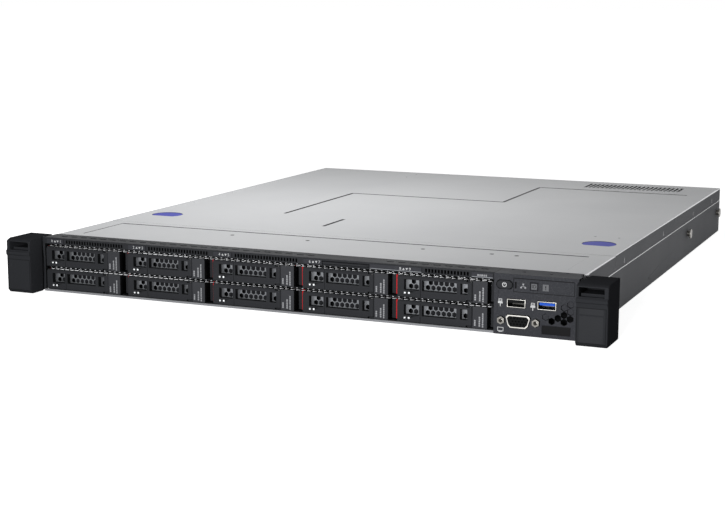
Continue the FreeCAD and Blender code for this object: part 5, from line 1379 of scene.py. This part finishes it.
@dataclass
class RearPanel:
    """Sockets, slot covers and power supply of the rear.

    Attributes:
        port_sorts: Tongues and housings of the board's sockets.
        supply_sorts: Case, pins, board and moulded parts of the power supply.
        riser_sorts: Card and moulded parts of the riser.
        wall: Outer face of the rear panel.
        network: Middles of the network sockets along X.
        foot: Height of their foot.
        contacts: Number of contacts of one.
        contact: Pitch, height over the foot, width and thickness of a contact.
        reach: Place of a contact's inner end before the wall, and its length.
        lamp: Middle of a lamp window from the socket's middle and foot, and its size.
        lamp_face: How far a lamp window lies behind the wall, and its thickness.
    """

    port_sorts: tuple[Sort, ...] = (Sort(BLACK_EPOXY_AND_SHADE, least=(8.0, 0.0, 0.0), most=(14.0, ENDLESS, 2.4)),)
    supply_sorts: tuple[Sort, ...] = (
        Sort(INNER_STEEL, least=(95.0, 0.0, 30.0)), Sort(NICKEL, most=(2.5, ENDLESS, ENDLESS)),
        Sort(GREEN_BOARD, least=(80.0, 0.0, 0.0), most=(ENDLESS, ENDLESS, 8.0)), Sort(BLACK_EPOXY_AND_SHADE))
    riser_sorts: tuple[Sort, ...] = (Sort(GREEN_BOARD, most=(2.0, ENDLESS, ENDLESS)),
                                     Sort(BLACK_EPOXY_AND_SHADE, most=(9.0, ENDLESS, ENDLESS)))
    wall: float = 517.5
    network: tuple[float, ...] = (-199.0, -180.0, -161.0)
    foot: float = 8.4
    contacts: int = 8
    contact: tuple[float, ...] = (1.02, 4.0, 0.35, 0.3)
    reach: Span = (9.0, 8.0)
    lamp: Patch = (5.6, 1.4, 3.0, 1.2)
    lamp_face: Span = (0.4, 0.1)

    def contact_rows(self) -> None:
        """Adds the gold contacts and the two lamp windows of each network socket; the windows are unlit and
        carry a painted glow.
        """
        combs = Marks(self.wall - self.reach[0], Facing.REAR, self.reach[1])
        lamps = Marks(self.wall + self.lamp_face[0], Facing.REAR, self.lamp_face[1])
        pitch, rise, wide, tall = self.contact
        across, up, lamp_wide, lamp_tall = self.lamp
        for x in self.network:
            for number in range(self.contacts):
                combs.bar(x + pitch * (number - (self.contacts - 1) / 2), self.foot + rise, wide, tall)
            for side in Side:
                lamps.bar(x + across * side.value, self.foot + up, lamp_wide, lamp_tall)
        combs.done("network_contacts", GOLD, "rear_ports")
        polish(lamps.done("network_lamps", LENS_WITH_PAINTED_GLOW, "rear_ports"), edge_mm=0.03)

    def build(self) -> None:
        """Dresses the rear."""
        keep(polish(copied("rear_ports", [NICKEL, BLACK_EPOXY_AND_SHADE], self.port_sorts)), "rear_ports")
        self.contact_rows()
        supply = copied("power_supply", [INNER_STEEL, BLACK_EPOXY_AND_SHADE, GREEN_BOARD, NICKEL], self.supply_sorts)
        keep(polish(supply), "power_supply")
        riser = copied("expansion_riser", [INNER_STEEL, GREEN_BOARD, BLACK_EPOXY_AND_SHADE], self.riser_sorts)
        keep(polish(riser), "expansion_riser")


@dataclass
class Inside:
    """What the case holds: cage, backplane, fans, board, cooler and memory.

    Attributes:
        moulded: Nodes moulded in black plastic.
        combs: Strips of spring fingers of the cage.
        board_sorts: Board, cans and coils, and black parts of the system board.
        module_pitch: Distance between two memory modules.
        module_core: A module's bare board lies between these, from its left.
    """

    moulded: tuple[str, ...] = ("air_baffle", "fan_frames", "fan_rotor_1", "fan_rotor_2", "fan_rotor_3",
                                "supply_rotor")
    combs: Sort = Sort(SPRING_STEEL, least=(100.0, 0.0, 0.0), most=(ENDLESS, 6.0, ENDLESS))
    board_sorts: tuple[Sort, ...] = (
        Sort(GREEN_BOARD, least=(150.0, 0.0, 0.0)),
        Sort(ALUMINIUM, least=(0.0, 0.0, 10.0), most=(9.0, ENDLESS, ENDLESS)),
        Sort(ALUMINIUM, least=(36.0, 0.0, 0.0), most=(39.0, ENDLESS, ENDLESS)), Sort(BLACK_EPOXY_AND_SHADE))
    module_pitch: float = 9.4
    module_core: Span = (0.2, 3.2)

    def modules(self) -> None:
        """Dresses the memory modules: green boards with black chips on both faces."""
        left = node_box("memory_modules")[0].x
        start, end = self.module_core

        def coat(middle: Vector, normal: Vector, has: str) -> Finish | None:
            """Blackens the outer faces of the chips."""
            depth = (middle.x - left) % self.module_pitch
            return BLACK_EPOXY_AND_SHADE if abs(normal.x) > ALONG and not start <= depth <= end else None

        cards = copied("memory_modules", [GREEN_BOARD, BLACK_EPOXY_AND_SHADE])
        recoat(cards, coat)
        keep(cards, "memory_modules")

    def build(self) -> None:
        """Gives the inside its finishes."""
        plain(BLACK_ABS_AND_SHADE, *self.moulded)
        plain(GREEN_BOARD, "drive_backplane")
        plain(BLACK_BOARD, "front_io_board")
        plain(ALUMINIUM, "heat_sink")
        cage = copied("drive_cage", [BLACK_ZINC, SPRING_STEEL], [self.combs])
        keep(polish(cage, edge_mm=0.06, bare=SPRING_STEEL), "drive_cage")
        board = copied("system_board", [GREEN_BOARD, ALUMINIUM, BLACK_EPOXY_AND_SHADE], self.board_sorts)
        keep(polish(board, edge_mm=0.1), "system_board")
        self.modules()



@dataclass
class Studio:
    """Camera, soft lamps, pale floor and backdrop.

    Attributes:
        eye: Camera position.
        yaw: Turn of the view to the left of +Y, in radians.
        pitch: Tilt of the view below the horizon, in radians.
        roll: Turn about the view axis, in radians.
        lens: Focal length in millimetres on a sensor of the default width.
        sight: Nearest and farthest distance that the camera sees.
        room_light: Strength of the even surround on the object.
        paper: sRGB hex of the floor.
        paper_lift: Share of white that the floor adds where it is seen.
        floor_side: Side of the floor.
        lamps: Name, place, target, side and power of each soft lamp, in metres and watts.
    """

    eye: Point = (0.4714, -0.9847, 0.2301)
    yaw: float = 0.405
    pitch: float = 0.173
    roll: float = 0.003
    lens: float = 73.77
    sight: Span = (0.01, 100.0)
    room_light: float = 0.2
    paper: str = "#F2F2F2"
    paper_lift: float = 0.84
    floor_side: float = 60.0
    lamps: tuple[tuple[str, Point, Point, float, float], ...] = (
        ("key_softbox", (-0.13, 0.22, 0.36), (-0.13, 0.22, 0.03), 0.3, 1.1),
        ("front_softbox", (0.22, -1.1, 0.24), (0.05, 0.0, 0.02), 0.3, 13.0))

    def camera(self) -> None:
        """Places the camera and makes it the scene's own."""
        data = bpy.data.cameras.new("camera")
        data.lens = self.lens
        data.clip_start, data.clip_end = self.sight
        camera = bpy.data.objects.new("camera", data)
        bpy.context.scene.collection.objects.link(camera)
        forward = Vector((-math.sin(self.yaw) * math.cos(self.pitch),
                          math.cos(self.yaw) * math.cos(self.pitch), -math.sin(self.pitch)))
        camera.rotation_euler = forward.to_track_quat("-Z", "Y").to_euler()
        camera.rotation_euler.rotate_axis("Z", self.roll)
        camera.location = self.eye
        bpy.context.scene.camera = camera

    def lamp(self, name: str, place: Point, target: Point, size: float, power: float) -> None:
        """Adds one square soft lamp.

        Args:
            name: Lamp's name.
            place: Centre of its face.
            target: Point that it faces.
            size: Side of its face.
            power: Radiant power in watts.
        """
        data = bpy.data.lights.new(name, "AREA")
        data.size = size
        data.energy = power
        lamp = bpy.data.objects.new(name, data)
        bpy.context.scene.collection.objects.link(lamp)
        lamp.location = place
        lamp.rotation_euler = (Vector(target) - Vector(place)).to_track_quat("-Z", "Y").to_euler()

    @staticmethod
    def seen(tree: bpy.types.NodeTree) -> bpy.types.NodeSocket:
        """Is one where the eye, a reflection or a clear body sees a surface.

        Args:
            tree: Node tree of the surface or of the world.

        Returns:
            The output socket.
        """
        rays = add_node(tree, "LightPath")
        either = add_node(tree, "Math", {"operation": "MAXIMUM"},
                          {0: rays.outputs["Is Camera Ray"], 1: rays.outputs["Is Glossy Ray"]})
        return add_node(tree, "Math", {"operation": "MAXIMUM"},
                        {0: either.outputs[0], 1: rays.outputs["Is Transmission Ray"]}).outputs[0]

    def floor(self) -> None:
        """Pale floor that reads white to the camera and keeps the object's shadow."""
        bpy.ops.object.select_all(action="DESELECT")
        bpy.ops.mesh.primitive_plane_add(size=self.floor_side, location=(0, 0, 0))
        floor = bpy.context.object
        floor.name = "studio_floor"
        material = bpy.data.materials.new("white_studio_paper")
        material.use_nodes = True
        tree = material.node_tree
        tree.nodes.clear()
        lift = add_node(tree, "Math", {"operation": "MULTIPLY", 1: self.paper_lift}, {0: self.seen(tree)})
        paper = add_node(tree, "BsdfDiffuse", {"Color": linear_colour(self.paper)})
        glow = add_node(tree, "Emission", {"Color": (1.0, 1.0, 1.0, 1.0)}, {"Strength": lift.outputs[0]})
        both = add_node(tree, "AddShader", None, {0: paper.outputs[0], 1: glow.outputs[0]})
        add_node(tree, "OutputMaterial", None, {"Surface": both.outputs[0]})
        floor.data.materials.append(material)

    def sky(self) -> None:
        """Soft even surround, white where the camera or a reflection sees it."""
        world = bpy.data.worlds.new("studio")
        bpy.context.scene.world = world
        world.use_nodes = True
        tree = world.node_tree
        tree.nodes.clear()
        level = add_node(tree, "MapRange", {"To Min": self.room_light, "To Max": 1.0},
                         {"Value": self.seen(tree)})
        sky = add_node(tree, "Background", {"Color": (1.0, 1.0, 1.0, 1.0)},
                       {"Strength": level.outputs["Result"]})
        add_node(tree, "OutputWorld", None, {"Surface": sky.outputs[0]})

    def build(self) -> None:
        """Sets up the whole studio."""
        bpy.context.scene.view_settings.view_transform = "Standard"
        self.camera()
        for lamp in self.lamps:
            self.lamp(*lamp)
        self.floor()
        self.sky()


def write_sizes() -> None:
    """Updates the view layer."""
    bpy.context.view_layer.update()


def main() -> None:
    """Builds the studio, dresses every sub-assembly and reports each piece."""
    for assembly in (Studio(), Pan(), Covers(), DriveBays(), BayStrip(), OperatorPanel(), Ears(), RearPanel(),
                     Inside()):
        known = set(bpy.data.objects.keys())
        assembly.build()
        for name in sorted(set(bpy.data.objects.keys()) - known):
            log.info("%s: %s", type(assembly).__name__, name)
    write_sizes()


if __name__ == "__main__":
    main()
